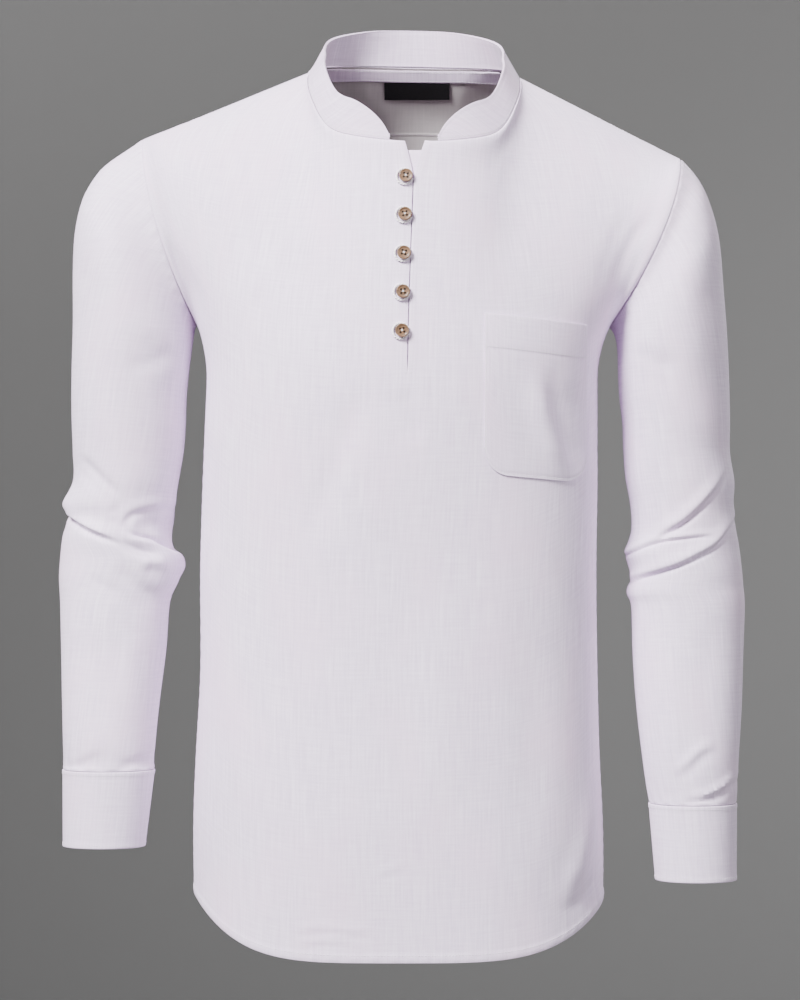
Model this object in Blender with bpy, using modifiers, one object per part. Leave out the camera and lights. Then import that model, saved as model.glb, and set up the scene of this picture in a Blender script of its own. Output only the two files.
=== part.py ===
"""Short kurta in pale cotton: stand collar, looped slit front, chest pocket and shirt-tail hem.

Lengths are millimetres in the design values below and metres in the finished meshes.
+X is the wearer's left, the front faces -Y and +Z is up. Height 0 is the neck at shoulder level,
where the wearer's shoulders hold the garment.
"""

import math
from collections import namedtuple

import bmesh
import bpy
from mathutils import Vector
from mathutils.bvhtree import BVHTree

METRES = 0.001
NAME = "kurta"
CUTTERS = "cutters"

# Cloth walls and the gaps at seams.
CLOTH_WALL = 1.5
COLLAR_WALL = 2.0
CUFF_WALL = 2.2
SEAM_GAP = 0.4
LAID_GAP = 0.4

# A distance in y that lies clear of the garment.
OUTSIDE = 300

# Torso sections: height, outline to the wearer's right and left, crown of the front,
# and the depth of front and back from the shoulder plane.
Section = namedtuple("Section", "height right left crown front back")
TORSO = (
    Section(-775, -180, 171, -5, 118, 122),
    Section(-715, -181, 172, -5, 118, 123),
    Section(-650, -182, 172, -5, 117, 124),
    Section(-590, -180, 169, -5, 115, 120),
    Section(-515, -176, 167, -4, 112, 110),
    Section(-430, -176, 166, -3, 112, 104),
    Section(-350, -174, 167, 0, 116, 108),
    Section(-262, -170, 167, 3, 120, 116),
)
CHEST_LINE = -262
SQUARENESS = 2.5

# Shirt-tail hem: height at the two side seams and at the middle, and how square its corners are.
HEM_RIGHT = -704
HEM_LEFT = -708
HEM_MIDDLE = -753
HEM_SQUARENESS = 4.6

# Armholes and shoulders, by side of the wearer.
Shoulder = namedtuple("Shoulder", "tip_x tip_z under_x under_z")
SHOULDERS = {
    -1: Shoulder(-225, -56, -179, -216),
    1: Shoulder(238, -73, 177, -217),
}
TIP_Y = -6
ARMHOLE_FRONT = 57
ARMHOLE_BACK = 61
ARMHOLE_BOW = 1.6
YOKE_TURN = math.radians(298)

# Neckline: middle, half width, reach to the front and back, and the heights on the way round,
# with the depth, place and spread of its dip at the front corners.
NECK_X = 8.5
NECK_HALF = 91.5
NECK_Y = -15
NECK_REACH = 80
NECK_SQUARENESS = 2.5
NECK_HEIGHT = 0.13
NECK_SLOPE = 0.401
NECK_BEND = -0.00277
NECK_TILT = -0.02
NECK_DIP = 9
NECK_DIP_Y = -74
NECK_DIP_SPREAD = 18
NECK_POINT_TURN = math.radians(95)

# Stand collar.
COLLAR_HEIGHT = 32
COLLAR_CORNER = 44
COLLAR_END_RIGHT = 21
COLLAR_END_LEFT = 20
COLLAR_LEAN_SIDE = 0.66
COLLAR_LEAN_FRONT = 0.25
COLLAR_LEAN_BACK = 0.04
COLLAR_LEAN_CORNER = 0.3
COLLAR_SIDE_DROP = 6
COLLAR_CORNER_SQUARENESS = 1.7
COLLAR_CORNER_STATIONS = (0, 1.2, 3, 6, 10, 15, 22, 29, 36)
COLLAR_CLOSEST = 0.5
COLLAR_ROWS = 3
COLLAR_END_HEIGHT = 5

# Back yoke: its lower seam at the middle of the back, how the seam bows, and the directions
# in which the cloth leaves the seam and reaches the shoulder seams and the neck.
YOKE_SEAM_HEIGHT = -40
YOKE_SEAM_DEPTH = 108
YOKE_BOW_DEPTH = 2.6
YOKE_BOW_HEIGHT = 2.2
YOKE_LEAVE = Vector((0, -0.40, 0.90))
YOKE_OVER_SHOULDER = Vector((0, -1.0, -0.35))
YOKE_UP_NECK = Vector((0, -0.55, 0.85))
YOKE_NECK_BLEND = 0.5
YOKE_FAN = 0.75
YOKE_ARMHOLE_WEIGHTS = (1.0, 0.97, 0.6, 0.3, 0.1)

# Slit, with the V at its top.
SLIT_HALF_GAP = 0.3
VEE_HEIGHT = -96
VEE_RIGHT = 7.5
VEE_LEFT = 8.5
VEE_BOW = 1.3

# How many faces each piece has across and along.
FRONT_ARMHOLE_COLUMNS = 8
BACK_ARMHOLE_COLUMNS = 6
SHOULDER_COLUMNS = 4
NECK_COLUMNS = 6
SKIRT_ROWS = 12
CHEST_ROWS = 11
BACK_ROWS = 9
YOKE_ROWS = 4
SLEEVE_STEP = 26

# Where the columns of a panel cross the chest line, from side seam to middle.
CHEST_SHARE_ARMHOLE = 0.42
CHEST_SHARE_SHOULDER = 0.68
CHEST_STEPS = 120
SEAM_COLUMN = 0.012
SEAM_SHARE = 0.025

# Sleeve rings from the armhole down: outer and inner edge, half depth, and middle in y.
Ring = namedtuple("Ring", "outer_x outer_z inner_x inner_z half_depth mid_y")
SLEEVE_RIGHT = (
    Ring(-238, -64, -181.0, -219, 60, 1),
    Ring(-254, -75, -181.4, -222, 63, 1),
    Ring(-265, -86, -181.8, -225, 66, 1),
    Ring(-277, -107, -182.3, -229, 69, 1),
    Ring(-284, -137, -183, -235, 70, 1),
    Ring(-286, -172, -184, -244, 70, 1),
    Ring(-286, -211, -186, -260, 68, 1),
    Ring(-287, -254, -188, -280, 65, 2),
    Ring(-287, -293, -189, -303, 62, 3),
    Ring(-286, -326, -191, -326, 59, 4),
    Ring(-286, -350, -195, -348, 57, 4),
    Ring(-294, -369, -198, -367, 55, 4),
    Ring(-291, -382, -199, -386, 54, 4),
    Ring(-295, -398, -201, -405, 54, 3),
    Ring(-297, -416, -191, -421, 53, 2),
    Ring(-298, -434, -195, -437, 51, 0),
    Ring(-297, -456, -203, -455, 49, -2),
    Ring(-296, -496, -206, -496, 46, -6),
    Ring(-295, -540, -211, -540, 44, -11),
    Ring(-294, -575, -214, -575, 42, -15),
    Ring(-293, -598, -215, -598, 39, -17),
)
SLEEVE_LEFT = (
    Ring(247, -81, 180.0, -220, 60, 1),
    Ring(256, -93, 181.6, -223, 63, 1),
    Ring(263, -109, 182.6, -226, 66, 1),
    Ring(269, -129, 183.6, -230, 69, 1),
    Ring(273, -151, 184.4, -236, 70, 1),
    Ring(276, -185, 184.8, -245, 70, 1),
    Ring(279, -222, 184.6, -258, 68, 1),
    Ring(281, -260, 186, -276, 65, 2),
    Ring(282, -297, 189, -302, 62, 3),
    Ring(282, -326, 190, -326, 59, 4),
    Ring(286, -351, 192, -349, 57, 4),
    Ring(285, -371, 196, -371, 55, 4),
    Ring(287, -389, 197, -393, 54, 4),
    Ring(290, -409, 192, -413, 54, 3),
    Ring(292, -427, 197, -429, 53, 2),
    Ring(293, -441, 193, -446, 51, 0),
    Ring(294, -458, 197, -460, 49, -2),
    Ring(292, -500, 198, -500, 46, -6),
    Ring(290, -545, 201, -545, 44, -11),
    Ring(287, -590, 206, -590, 42, -15),
    Ring(285.5, -627, 211, -627, 39, -17),
)
SLEEVES = {-1: SLEEVE_RIGHT, 1: SLEEVE_LEFT}
SLEEVE_ROUNDNESS = 0.9
SLEEVE_BOW_ROWS = 6
SLEEVE_SEAM_SHARE = 0.06
Counted = namedtuple("Counted", ("place",) + Ring._fields)

# Cuffs: their lower edges, and how they lap.
CUFF_ENDS = {
    -1: Ring(-292.5, -664, -223, -664, 36, -20),
    1: Ring(285, -693, 216.5, -693, 36, -20),
}
CUFF_PROUD = 0.6
CUFF_SEAM_GAP = 0.6
CUFF_OVERLAP = math.radians(30)
CUFF_OPENING_TURN = math.radians(290)
CUFF_LAP_START = 0.72
CUFF_LAP_RAMP = 0.18
CUFF_SPANS = 26
CUFF_ROWS = 3

# Folds of the cloth: a line in the front view with the bow at its middle, half width,
# rise (negative for a trough), and the face it lies on, -1 for the front and 1 for the back.
# Folds of the front die away near its seams.
Fold = namedtuple("Fold", "start_x start_z end_x end_z sag width rise face")
FOLD_OVERRUN = 0.4
FOLD_FADE_POWER = 4
FOLD_FADE_SCALE = 1.6
FOLD_SEAM_COLUMNS = 3
FOLD_EDGE_ROWS = 2
FRONT_FOLDS = (
    Fold(-192, -150, -150, -250, -6, 11, -5, -1),
    Fold(196, -160, 160, -245, 6, 11, -5, -1),
    Fold(118, -262, 132, -350, 8, 15, -4, -1),
    Fold(-40, -270, -90, -415, 6, 20, -3, -1),
)
SLEEVE_FOLDS = {
    -1: (
        Fold(-292, -381, -200, -412, 5, 8, -5, -1),
        Fold(-280, -335, -235, -372, 0, 9, 3, -1),
        Fold(-245, -392, -192, -415, 0, 7, 4, -1),
        Fold(-292, -385, -196, -425, 0, 9, -4, 1),
    ),
    1: (
        Fold(278, -342, 196, -411, -10, 8, -5, -1),
        Fold(286, -384, 195, -443, -8, 9, -5, -1),
        Fold(284, -362, 200, -424, -9, 8, 4, -1),
        Fold(288, -375, 196, -425, 0, 9, -4, 1),
    ),
}

# Chest pocket on the wearer's left.
POCKET_X = 67
POCKET_TOP = -211
POCKET_WIDTH = 86
POCKET_HEIGHT = 134
POCKET_DROOP = 8
POCKET_CORNER = 20
POCKET_COLUMNS = 12
POCKET_ROWS = 11
POCKET_GAP = 0.7

# Strip behind the slit.
UNDERLAP_TOP = -73
UNDERLAP_FOOT = -272
UNDERLAP_RIGHT = -12
UNDERLAP_WIDTH = 27
UNDERLAP_WALL = 1.2
UNDERLAP_COLUMNS = 3
UNDERLAP_ROWS = 9

# Front fastening: wooden buttons and cord loops.
SLIT_FOOT_X = 3.5
SLIT_VEE_X = 7.5
BUTTON_COUNT = 5
BUTTON_TOP = -96
BUTTON_PITCH = 32.5
BUTTON_FROM_SLIT = 6
BUTTON_RADIUS = 5.75
BUTTON_THICKNESS = 2.2
BUTTON_SIDES = 20
BUTTON_LIFT = 2.9
HOLE_RADIUS = 0.8
HOLE_OFFSET = 1.15
HOLE_SIDES = 6
LOOP_CORD_RADIUS = 1.1
LOOP_RADIUS = 6.3
LOOP_LIFT = 1.45
LOOP_OPENING = math.radians(20)
LOOP_POINTS = 10

# Inside the back neck: facing strip and label.
TAPE_SPREAD = math.radians(50)
TAPE_GAP = 0.9
TAPE_CLEARANCE = 30
TAPE_DROP = 2
TAPE_HEIGHT = 10
TAPE_WALL = 1.0
TAPE_COLUMNS = 14
TAPE_ROWS = 2
LABEL_X = 11.5
LABEL_WIDTH = 58
LABEL_HEIGHT = -6
LABEL_DEPTH = 14
LABEL_WALL = 1.0
LABEL_GAP = 0.5
LABEL_COLUMNS = 5

# Wrists: strip over the sleeve's slit and the cuff's button.
WRIST_STRIP_COLUMN = 5
WRIST_STRIP_WIDTH = 22
WRIST_STRIP_ROWS = 6
CUFF_BUTTON_SHIFT = 4
CUFF_BUTTON_DROP = 30

CLOTH = (0.75, 0.73, 0.78)
WOOD = (0.45, 0.27, 0.14)
DARK = (0.01, 0.01, 0.012)


def smooth_rows(rows, column, at):
    """Value of a named column at a height or position, on a smooth curve through the rows."""
    keys = [row[0] for row in rows]
    values = [getattr(row, column) for row in rows]
    if at <= keys[0]:
        return values[0]
    if at >= keys[-1]:
        return values[-1]
    right = next(i for i, key in enumerate(keys) if key >= at)
    left = right - 1
    span = keys[right] - keys[left]
    share = (at - keys[left]) / span
    slopes = []
    for i in (left, right):
        low = max(i - 1, 0)
        high = min(i + 1, len(keys) - 1)
        slopes.append((values[high] - values[low]) / (keys[high] - keys[low]) * span)
    return hermite(values[left], slopes[0], values[right], slopes[1], share)


def hermite(start, leave, end, arrive, share):
    """Point on the cubic from start to end that leaves and arrives with the given tangents."""
    square = share * share
    cube = square * share
    return (
        start * (2 * cube - 3 * square + 1)
        + leave * (cube - 2 * square + share)
        + end * (3 * square - 2 * cube)
        + arrive * (cube - square)
    )


def bent(value, power):
    """Power of a value that keeps the value's sign."""
    return math.copysign(abs(value) ** power, value)


def torso_point(height, turn):
    """Point of the torso at a height: turn 0 is the left side, pi/2 the front, 3pi/2 the back."""
    row = {name: smooth_rows(TORSO, name, height) for name in Section._fields[1:]}
    middle = (row["left"] + row["right"]) / 2
    half = (row["left"] - row["right"]) / 2
    ahead = math.sin(turn)
    depth = row["front"] if ahead > 0 else row["back"]
    x = middle + half * bent(math.cos(turn), 2 / SQUARENESS)
    if ahead > 0:
        x += (row["crown"] - middle) * ahead**4
    return Vector((x, -depth * bent(ahead, 2 / SQUARENESS), height))


def chest_turns(side, face, shares):
    """Turns at which a half panel crosses the chest line, evenly along it from its side seam."""
    start = 0.0 if side > 0 else math.pi
    quarter = side * face * math.pi / 2
    steps = CHEST_STEPS
    turns = [start + quarter * i / steps for i in range(steps + 1)]
    points = [torso_point(CHEST_LINE, turn) for turn in turns]
    travelled = [0.0]
    for i in range(steps):
        travelled.append(travelled[-1] + (points[i + 1] - points[i]).length)
    found = []
    for share in shares:
        goal = share * travelled[-1]
        i = next((k for k in range(1, steps + 1) if travelled[k] >= goal), steps)
        part = (goal - travelled[i - 1]) / (travelled[i] - travelled[i - 1])
        found.append(turns[i - 1] + (turns[i] - turns[i - 1]) * part)
    return found


def hem_height(turn):
    """Height of the shirt-tail hem at a turn round the torso."""
    across = abs(math.cos(turn)) ** (2 / SQUARENESS)
    side_height = HEM_LEFT if math.cos(turn) > 0 else HEM_RIGHT
    return HEM_MIDDLE + (side_height - HEM_MIDDLE) * across**HEM_SQUARENESS


def armhole_point(side, turn):
    """Point of an armhole seam: turn 0 is the shoulder tip, pi/2 the front, pi the underarm."""
    shoulder = SHOULDERS[side]
    down = (1 - math.cos(turn)) / 2
    x = shoulder.tip_x + (shoulder.under_x - shoulder.tip_x) * down**ARMHOLE_BOW
    z = shoulder.tip_z + (shoulder.under_z - shoulder.tip_z) * down
    reach = ARMHOLE_FRONT if math.sin(turn) > 0 else ARMHOLE_BACK
    y = TIP_Y * (1 - down) - reach * math.sin(turn)
    return Vector((x, y, z))


def neck_point(side, turn):
    """Point of the collar seam: turn 0 is the middle of the front, pi the middle of the back."""
    out = bent(math.sin(turn), 2 / NECK_SQUARENESS)
    ahead = bent(math.cos(turn), 2 / NECK_SQUARENESS)
    x = NECK_X + side * NECK_HALF * out
    y = NECK_Y - NECK_REACH * ahead
    z = NECK_HEIGHT + NECK_SLOPE * y + NECK_BEND * y * y + NECK_TILT * (x - NECK_X)
    z -= NECK_DIP * math.exp(-(((y - NECK_DIP_Y) / NECK_DIP_SPREAD) ** 2))
    return Vector((x, y, z))


def shoulder_point(side, share):
    """Point of the shoulder seam, from the tip at 0 to the neck at 1."""
    return armhole_point(side, 0).lerp(neck_point(side, NECK_POINT_TURN), share)


def yoke_seam_point(share):
    """Point of the yoke's lower seam, from the right armhole at 0 to the left one at 1."""
    right = armhole_point(-1, YOKE_TURN)
    left = armhole_point(1, YOKE_TURN)
    flat = right.lerp(left, share)
    across = abs(2 * share - 1)
    y = flat.y + (YOKE_SEAM_DEPTH - flat.y) * (1 - across**YOKE_BOW_DEPTH)
    z = flat.z + (YOKE_SEAM_HEIGHT - flat.z) * (1 - across**YOKE_BOW_HEIGHT)
    return Vector((flat.x, y, z))


def yoke_top(side):
    """Upper edge of half the yoke, from the shoulder tip round the neck to the middle."""
    points = [shoulder_point(side, share) for share in [0.0] + shoulder_shares()]
    for i in range(1, NECK_COLUMNS + 1):
        turn = NECK_POINT_TURN + (math.pi - NECK_POINT_TURN) * i / NECK_COLUMNS
        points.append(neck_point(side, turn))
    return points


def yoke_across(point):
    """How far a point lies across the yoke, from 0 at the right tip to 1 at the left."""
    right = SHOULDERS[-1].tip_x
    left = SHOULDERS[1].tip_x
    return (point.x - right) / (left - right)


def yoke_shares(side):
    """How far across the yoke the columns of half of it start, fanned out from its neck edge."""
    top = yoke_top(side)
    travelled = [0.0]
    for here, there in zip(top, top[1:]):
        travelled.append(travelled[-1] + (there - here).length)
    edge = yoke_across(top[0])
    middle = yoke_across(top[-1])
    found = []
    for point, way in zip(top, travelled):
        straight = yoke_across(point)
        even = edge + (middle - edge) * way / travelled[-1]
        found.append(straight + (even - straight) * YOKE_FAN)
    return found


# Tangents with which a panel reaches its upper edge, as shares of the column's length and for
# the wearer's left side. Position is 0 at the underarm, 1 at the shoulder tip, 2 at the neck
# and 3 at the middle.
Arrival = namedtuple("Arrival", "position x y z")
FRONT_ARRIVALS = (
    Arrival(0.0, 0.35, 0.00, 0.60),
    Arrival(0.5, 0.52, 0.21, 0.25),
    Arrival(1.0, 0.26, 0.46, -0.16),
    Arrival(1.5, 0.00, 0.52, 0.08),
    Arrival(2.0, -0.08, 0.44, 0.20),
    Arrival(2.5, -0.06, 0.26, 0.50),
    Arrival(3.0, 0.00, 0.20, 0.65),
)
BACK_ARRIVALS = (
    Arrival(0.0, 0.35, 0.00, 0.60),
    Arrival(0.5, 0.49, -0.14, 0.35),
    Arrival(1.0, 0.14, -0.28, 0.60),
    Arrival(2.0, 0.00, -0.28, 0.63),
)


def arrival(rows, position, side):
    """Tangent with which a panel reaches its upper edge at a position along that edge."""
    x, y, z = (smooth_rows(rows, axis, position) for axis in "xyz")
    return Vector((x * side, y, z))


Column = namedtuple("Column", "turn top arrival")


def shoulder_shares():
    """Places of the columns along a shoulder seam, with a narrow one beside the armhole."""
    return [SEAM_SHARE] + [i / SHOULDER_COLUMNS for i in range(1, SHOULDER_COLUMNS + 1)]


def armhole_columns(side, end_turn, count):
    """Share, edge point and chest share of the columns that end at an armhole."""
    found = []
    for i in range(count + 1):
        share = i / count
        top = armhole_point(side, math.pi + (end_turn - math.pi) * share)
        found.append((share * CHEST_SHARE_ARMHOLE, top, share))
    narrow = SEAM_COLUMN / found[1][0]
    found.insert(1, (SEAM_COLUMN, found[0][1].lerp(found[1][1], narrow), found[1][2] * narrow))
    return found


def front_columns(side):
    """Columns of half the front, from the side seam to the middle."""
    plan = armhole_columns(side, 0, FRONT_ARMHOLE_COLUMNS)
    for share in shoulder_shares():
        chest = CHEST_SHARE_ARMHOLE + (CHEST_SHARE_SHOULDER - CHEST_SHARE_ARMHOLE) * share
        plan.append((chest, shoulder_point(side, share), 1 + share))
    for i in range(1, NECK_COLUMNS + 1):
        share = i / NECK_COLUMNS
        chest = CHEST_SHARE_SHOULDER + (1 - CHEST_SHARE_SHOULDER) * share
        plan.append((chest, neck_point(side, NECK_POINT_TURN * (1 - share)), 2 + share))
    turns = chest_turns(side, 1, [row[0] for row in plan])
    return [
        Column(turn, top, arrival(FRONT_ARRIVALS, position, side))
        for turn, (_, top, position) in zip(turns, plan)
    ]


def back_columns(side):
    """Columns of half the back below the yoke, from the side seam to the middle."""
    plan = armhole_columns(side, YOKE_TURN, BACK_ARMHOLE_COLUMNS)
    for across in yoke_shares(side)[1:]:
        share = 1 - abs(2 * across - 1)
        chest = CHEST_SHARE_ARMHOLE + (1 - CHEST_SHARE_ARMHOLE) * share
        plan.append((chest, yoke_seam_point(across), 1 + share))
    turns = chest_turns(side, -1, [row[0] for row in plan])
    return [
        Column(turn, top, arrival(BACK_ARRIVALS, position, side))
        for turn, (_, top, position) in zip(turns, plan)
    ]


def panel_column(column, skirt_rows, chest_rows):
    """Points of one column, from the hem through the chest line to the panel's upper edge."""
    hem = hem_height(column.turn)
    points = []
    for i in range(skirt_rows):
        points.append(torso_point(hem + (CHEST_LINE - hem) * i / skirt_rows, column.turn))
    start = torso_point(CHEST_LINE, column.turn)
    reach = (column.top - start).length
    shares = [i / chest_rows for i in range(chest_rows)] + [1 - SEAM_SHARE, 1.0]
    for share in shares:
        leave = Vector((0, 0, reach))
        points.append(hermite(start, leave, column.top, column.arrival * reach, share))
    return points


def pull_in_sides(columns):
    """Draw the two outer columns of a grid off their seams by half the seam gap."""
    for outer, inner in ((0, 1), (-1, -2)):
        for i, point in enumerate(columns[outer]):
            toward = columns[inner][i] - point
            columns[outer][i] = point + toward.normalized() * SEAM_GAP / 2


def pull_in_end(columns, end, inner):
    """Draw one end of every column off its seam by half the seam gap."""
    for column in columns:
        toward = column[inner] - column[end]
        column[end] = column[end] + toward.normalized() * SEAM_GAP / 2


def front_halves():
    """Columns of the right and left half of the front with their folds, side to middle."""
    halves = []
    for side in (-1, 1):
        columns = [panel_column(c, SKIRT_ROWS, CHEST_ROWS) for c in front_columns(side)]
        last = len(columns[0]) - 1
        for i, column in enumerate(columns):
            from_seam = min(1.0, max(0, i - 1) / FOLD_SEAM_COLUMNS)
            for j, point in enumerate(column):
                from_edge = min(1.0, max(0, last - 1 - j) / FOLD_EDGE_ROWS)
                column[j] = point + fold_push(point, FRONT_FOLDS) * from_seam * from_edge
        halves.append(columns)
    return halves


def slit_front(right, left):
    """Columns of the whole front, with the middle column twice, once for each slit edge."""
    slit_right = []
    slit_left = []
    for i, point in enumerate(right[-1]):
        opened = SLIT_HALF_GAP if i > SKIRT_ROWS else 0.0
        vee = max(0.0, (point.z - VEE_HEIGHT) / (right[-1][-1].z - VEE_HEIGHT)) ** VEE_BOW
        slit_right.append(point + Vector((-opened - VEE_RIGHT * vee, 0, 0)))
        slit_left.append(point + Vector((opened + VEE_LEFT * vee, 0, 0)))
    columns = right[:-1] + [slit_right, slit_left] + left[::-1][1:]
    pull_in_sides(columns)
    pull_in_end(columns, -1, -2)
    return columns


def back_grid():
    """Columns of the whole back below the yoke."""
    right = [panel_column(c, SKIRT_ROWS, BACK_ROWS) for c in back_columns(-1)]
    left = [panel_column(c, SKIRT_ROWS, BACK_ROWS) for c in back_columns(1)]
    columns = right + left[::-1][1:]
    pull_in_sides(columns)
    pull_in_end(columns, -1, -2)
    return columns


def yoke_armhole_point(side, share, rows):
    """Point of the yoke's armhole edge, on the straight stretches between its rows."""
    near = min(int(share * rows + 1e-9), rows - 1)
    span = (2 * math.pi - YOKE_TURN) / rows
    start = armhole_point(side, YOKE_TURN + span * near)
    end = armhole_point(side, YOKE_TURN + span * (near + 1))
    return start.lerp(end, share * rows - near)


def yoke_grid(rows):
    """Columns of the back yoke from the right armhole to the left, seam edge to neck edge."""
    top = yoke_top(-1) + yoke_top(1)[::-1][1:]
    across = yoke_shares(-1) + yoke_shares(1)[::-1][1:]
    last = len(top) - 1
    columns = []
    shares = [0.0, SEAM_SHARE] + [i / rows for i in range(1, rows)] + [1 - SEAM_SHARE, 1.0]
    for end, start_share in zip(top, across):
        start = yoke_seam_point(start_share)
        reach = (end - start).length
        leave = YOKE_LEAVE.normalized() * reach
        inside = 1 - abs(end.x - NECK_X) / NECK_HALF
        mix = min(1.0, max(0.0, inside / YOKE_NECK_BLEND))
        arrive = YOKE_OVER_SHOULDER.lerp(YOKE_UP_NECK, mix).normalized() * reach
        columns.append([hermite(start, leave, end, arrive, share) for share in shares])
    for side, edge, order in ((-1, 0, 1), (1, last, -1)):
        for j, share in enumerate(shares):
            seam = yoke_armhole_point(side, share, rows)
            shift = seam - columns[edge][j]
            for k, weight in enumerate(YOKE_ARMHOLE_WEIGHTS):
                columns[edge + order * k][j] += shift * weight
    pull_in_sides(columns)
    pull_in_end(columns, 0, 1)
    pull_in_end(columns, -1, -2)
    return columns


def new_object(name, mesh, colour, roughness=0.85):
    """Object of a mesh in the kurta's collection, with its own Principled material."""
    made = bpy.data.objects.new(name, mesh)
    material = bpy.data.materials.new(name)
    material.use_nodes = True
    shader = material.node_tree.nodes["Principled BSDF"]
    shader.inputs["Base Color"].default_value = (*colour, 1)
    shader.inputs["Roughness"].default_value = roughness
    made.data.materials.append(material)
    bpy.data.collections[NAME].objects.link(made)
    return made


def lofted_mesh(name, columns, split=None, closed=False):
    """Open surface through columns of points, in metres; split is (column, first open row)."""
    shape = bmesh.new()
    grid = []
    for i, column in enumerate(columns):
        made = []
        for j, point in enumerate(column):
            if split and i == split[0] + 1 and j <= split[1]:
                made.append(grid[i - 1][j])
                continue
            made.append(shape.verts.new(point * METRES))
        grid.append(made)
    pairs = list(zip(grid, grid[1:]))
    if closed:
        pairs.append((grid[-1], grid[0]))
    for number, (near, far) in enumerate(pairs):
        if split and number == split[0]:
            continue
        for j in range(len(near) - 1):
            shape.faces.new((near[j], far[j], far[j + 1], near[j + 1]))
    mesh = bpy.data.meshes.new(name)
    shape.to_mesh(mesh)
    shape.free()
    mesh.shade_smooth()
    return mesh


def thicken(made, wall):
    """Give an open surface its wall, inwards from the outside of the cloth."""
    modifier = made.modifiers.new("wall", "SOLIDIFY")
    modifier.thickness = wall * METRES
    modifier.offset = -1
    modifier.use_quality_normals = True


def sleeve_turns():
    """Turns round a sleeve, at the corners that the armhole edges of the panels have."""
    turns = [math.pi * i / FRONT_ARMHOLE_COLUMNS for i in range(FRONT_ARMHOLE_COLUMNS)]
    span = YOKE_TURN - math.pi
    turns += [math.pi + span * i / BACK_ARMHOLE_COLUMNS for i in range(BACK_ARMHOLE_COLUMNS)]
    span = 2 * math.pi - YOKE_TURN
    turns += [YOKE_TURN + span * i / YOKE_ROWS for i in range(YOKE_ROWS)]
    return turns


def sleeve_ring(rows, place):
    """Sizes of the sleeve ring at a place along its table, counted in rows."""
    counted = [Counted(i, *row) for i, row in enumerate(rows)]
    return Ring(*(smooth_rows(counted, name, place) for name in Ring._fields))


def sleeve_point(ring, turn, bow):
    """Point of a sleeve ring: turn 0 is its outer edge and pi its inner edge."""
    down = (1 - math.cos(turn)) / 2
    x = ring.outer_x + (ring.inner_x - ring.outer_x) * down**bow
    z = ring.outer_z + (ring.inner_z - ring.outer_z) * down
    y = ring.mid_y - ring.half_depth * bent(math.sin(turn), SLEEVE_ROUNDNESS)
    return Vector((x, y, z))


def sleeve_places(rows):
    """Places of the rings along a sleeve table, with more where its rows lie far apart."""
    places = []
    for i, (row, below) in enumerate(zip(rows, rows[1:])):
        length = math.hypot(row.outer_x - below.outer_x, row.outer_z - below.outer_z)
        parts = max(1, round(length / SLEEVE_STEP))
        places += [i + k / parts for k in range(parts)]
    return places + [len(rows) - 1]


def sleeve_grid(side):
    """Rings of points of a sleeve, turned into columns that run from armhole to cuff."""
    rows = SLEEVES[side]
    turns = sleeve_turns()
    rings = []
    start = [armhole_point(side, turn) for turn in turns]
    for place in sleeve_places(rows):
        ring = sleeve_ring(rows, place)
        bow = 1 + (ARMHOLE_BOW - 1) * max(0.0, 1 - (place + 1) / SLEEVE_BOW_ROWS)
        rings.append([sleeve_point(ring, turn, bow) for turn in turns])
    edge = [point.lerp(below, SLEEVE_SEAM_SHARE) for point, below in zip(start, rings[0])]
    rings = [start, edge] + rings
    columns = [list(column) for column in zip(*rings)]
    pull_in_end(columns, 0, 1)
    for column in columns:
        for i in range(2, len(column)):
            column[i] = column[i] + fold_push(column[i], SLEEVE_FOLDS[side])
    return columns


def fold_push(point, folds):
    """How far the folds move a point of the cloth, towards the front or the back."""
    push = Vector((0, 0, 0))
    facing = -1 if point.y < 0 else 1
    for fold in folds:
        if fold.face != facing:
            continue
        along = Vector((fold.end_x - fold.start_x, fold.end_z - fold.start_z))
        across = Vector((-along.y, along.x)).normalized()
        offset = Vector((point.x - fold.start_x, point.z - fold.start_z))
        share = offset.dot(along) / along.length_squared
        bow = fold.sag * 4 * share * (1 - share)
        distance = offset.dot(across) - bow
        held = min(max(share, -FOLD_OVERRUN), 1 + FOLD_OVERRUN)
        fade = max(0.0, 1 - abs(2 * held - 1) ** FOLD_FADE_POWER / FOLD_FADE_SCALE)
        push.y += facing * fold.rise * fade * math.exp(-((distance / fold.width) ** 2))
    return push


def collar_stations():
    """Points of the collar seam under the collar, from its right front end round to its left."""
    turns = [NECK_POINT_TURN * i / NECK_COLUMNS for i in range(NECK_COLUMNS)]
    span = (math.pi - NECK_POINT_TURN) / NECK_COLUMNS
    turns += [NECK_POINT_TURN + span * i for i in range(NECK_COLUMNS + 1)]
    loop = [neck_point(-1, turn) for turn in turns]
    loop += [neck_point(1, turn) for turn in turns[::-1][1:]]
    travelled = [0.0]
    for here, there in zip(loop, loop[1:]):
        travelled.append(travelled[-1] + (there - here).length)
    start = COLLAR_END_RIGHT
    length = travelled[-1] - COLLAR_END_LEFT - start
    corners = [place - start for place in travelled if 0 < place - start < length]
    goals = list(corners)
    for goal in COLLAR_CORNER_STATIONS:
        for place in (goal, length - goal):
            if min(abs(place - corner) for corner in corners) > COLLAR_CLOSEST:
                goals.append(place)
    stations = []
    for goal in sorted(goals):
        place = goal + start
        i = next(k for k in range(1, len(travelled)) if travelled[k] >= place)
        part = (place - travelled[i - 1]) / (travelled[i] - travelled[i - 1])
        stations.append((min(goal, length - goal), loop[i - 1].lerp(loop[i], part)))
    return stations


def collar_out(point):
    """Level direction out of the neck at a point of the collar seam."""
    return Vector(((point.x - NECK_X) / NECK_HALF, (point.y - NECK_Y) / NECK_REACH, 0)).normalized()


def collar_back_corner(out):
    """How near a direction is to a back corner of the neck, from 0 to 1."""
    return (2 * out.x * max(0.0, out.y)) ** 2


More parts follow.
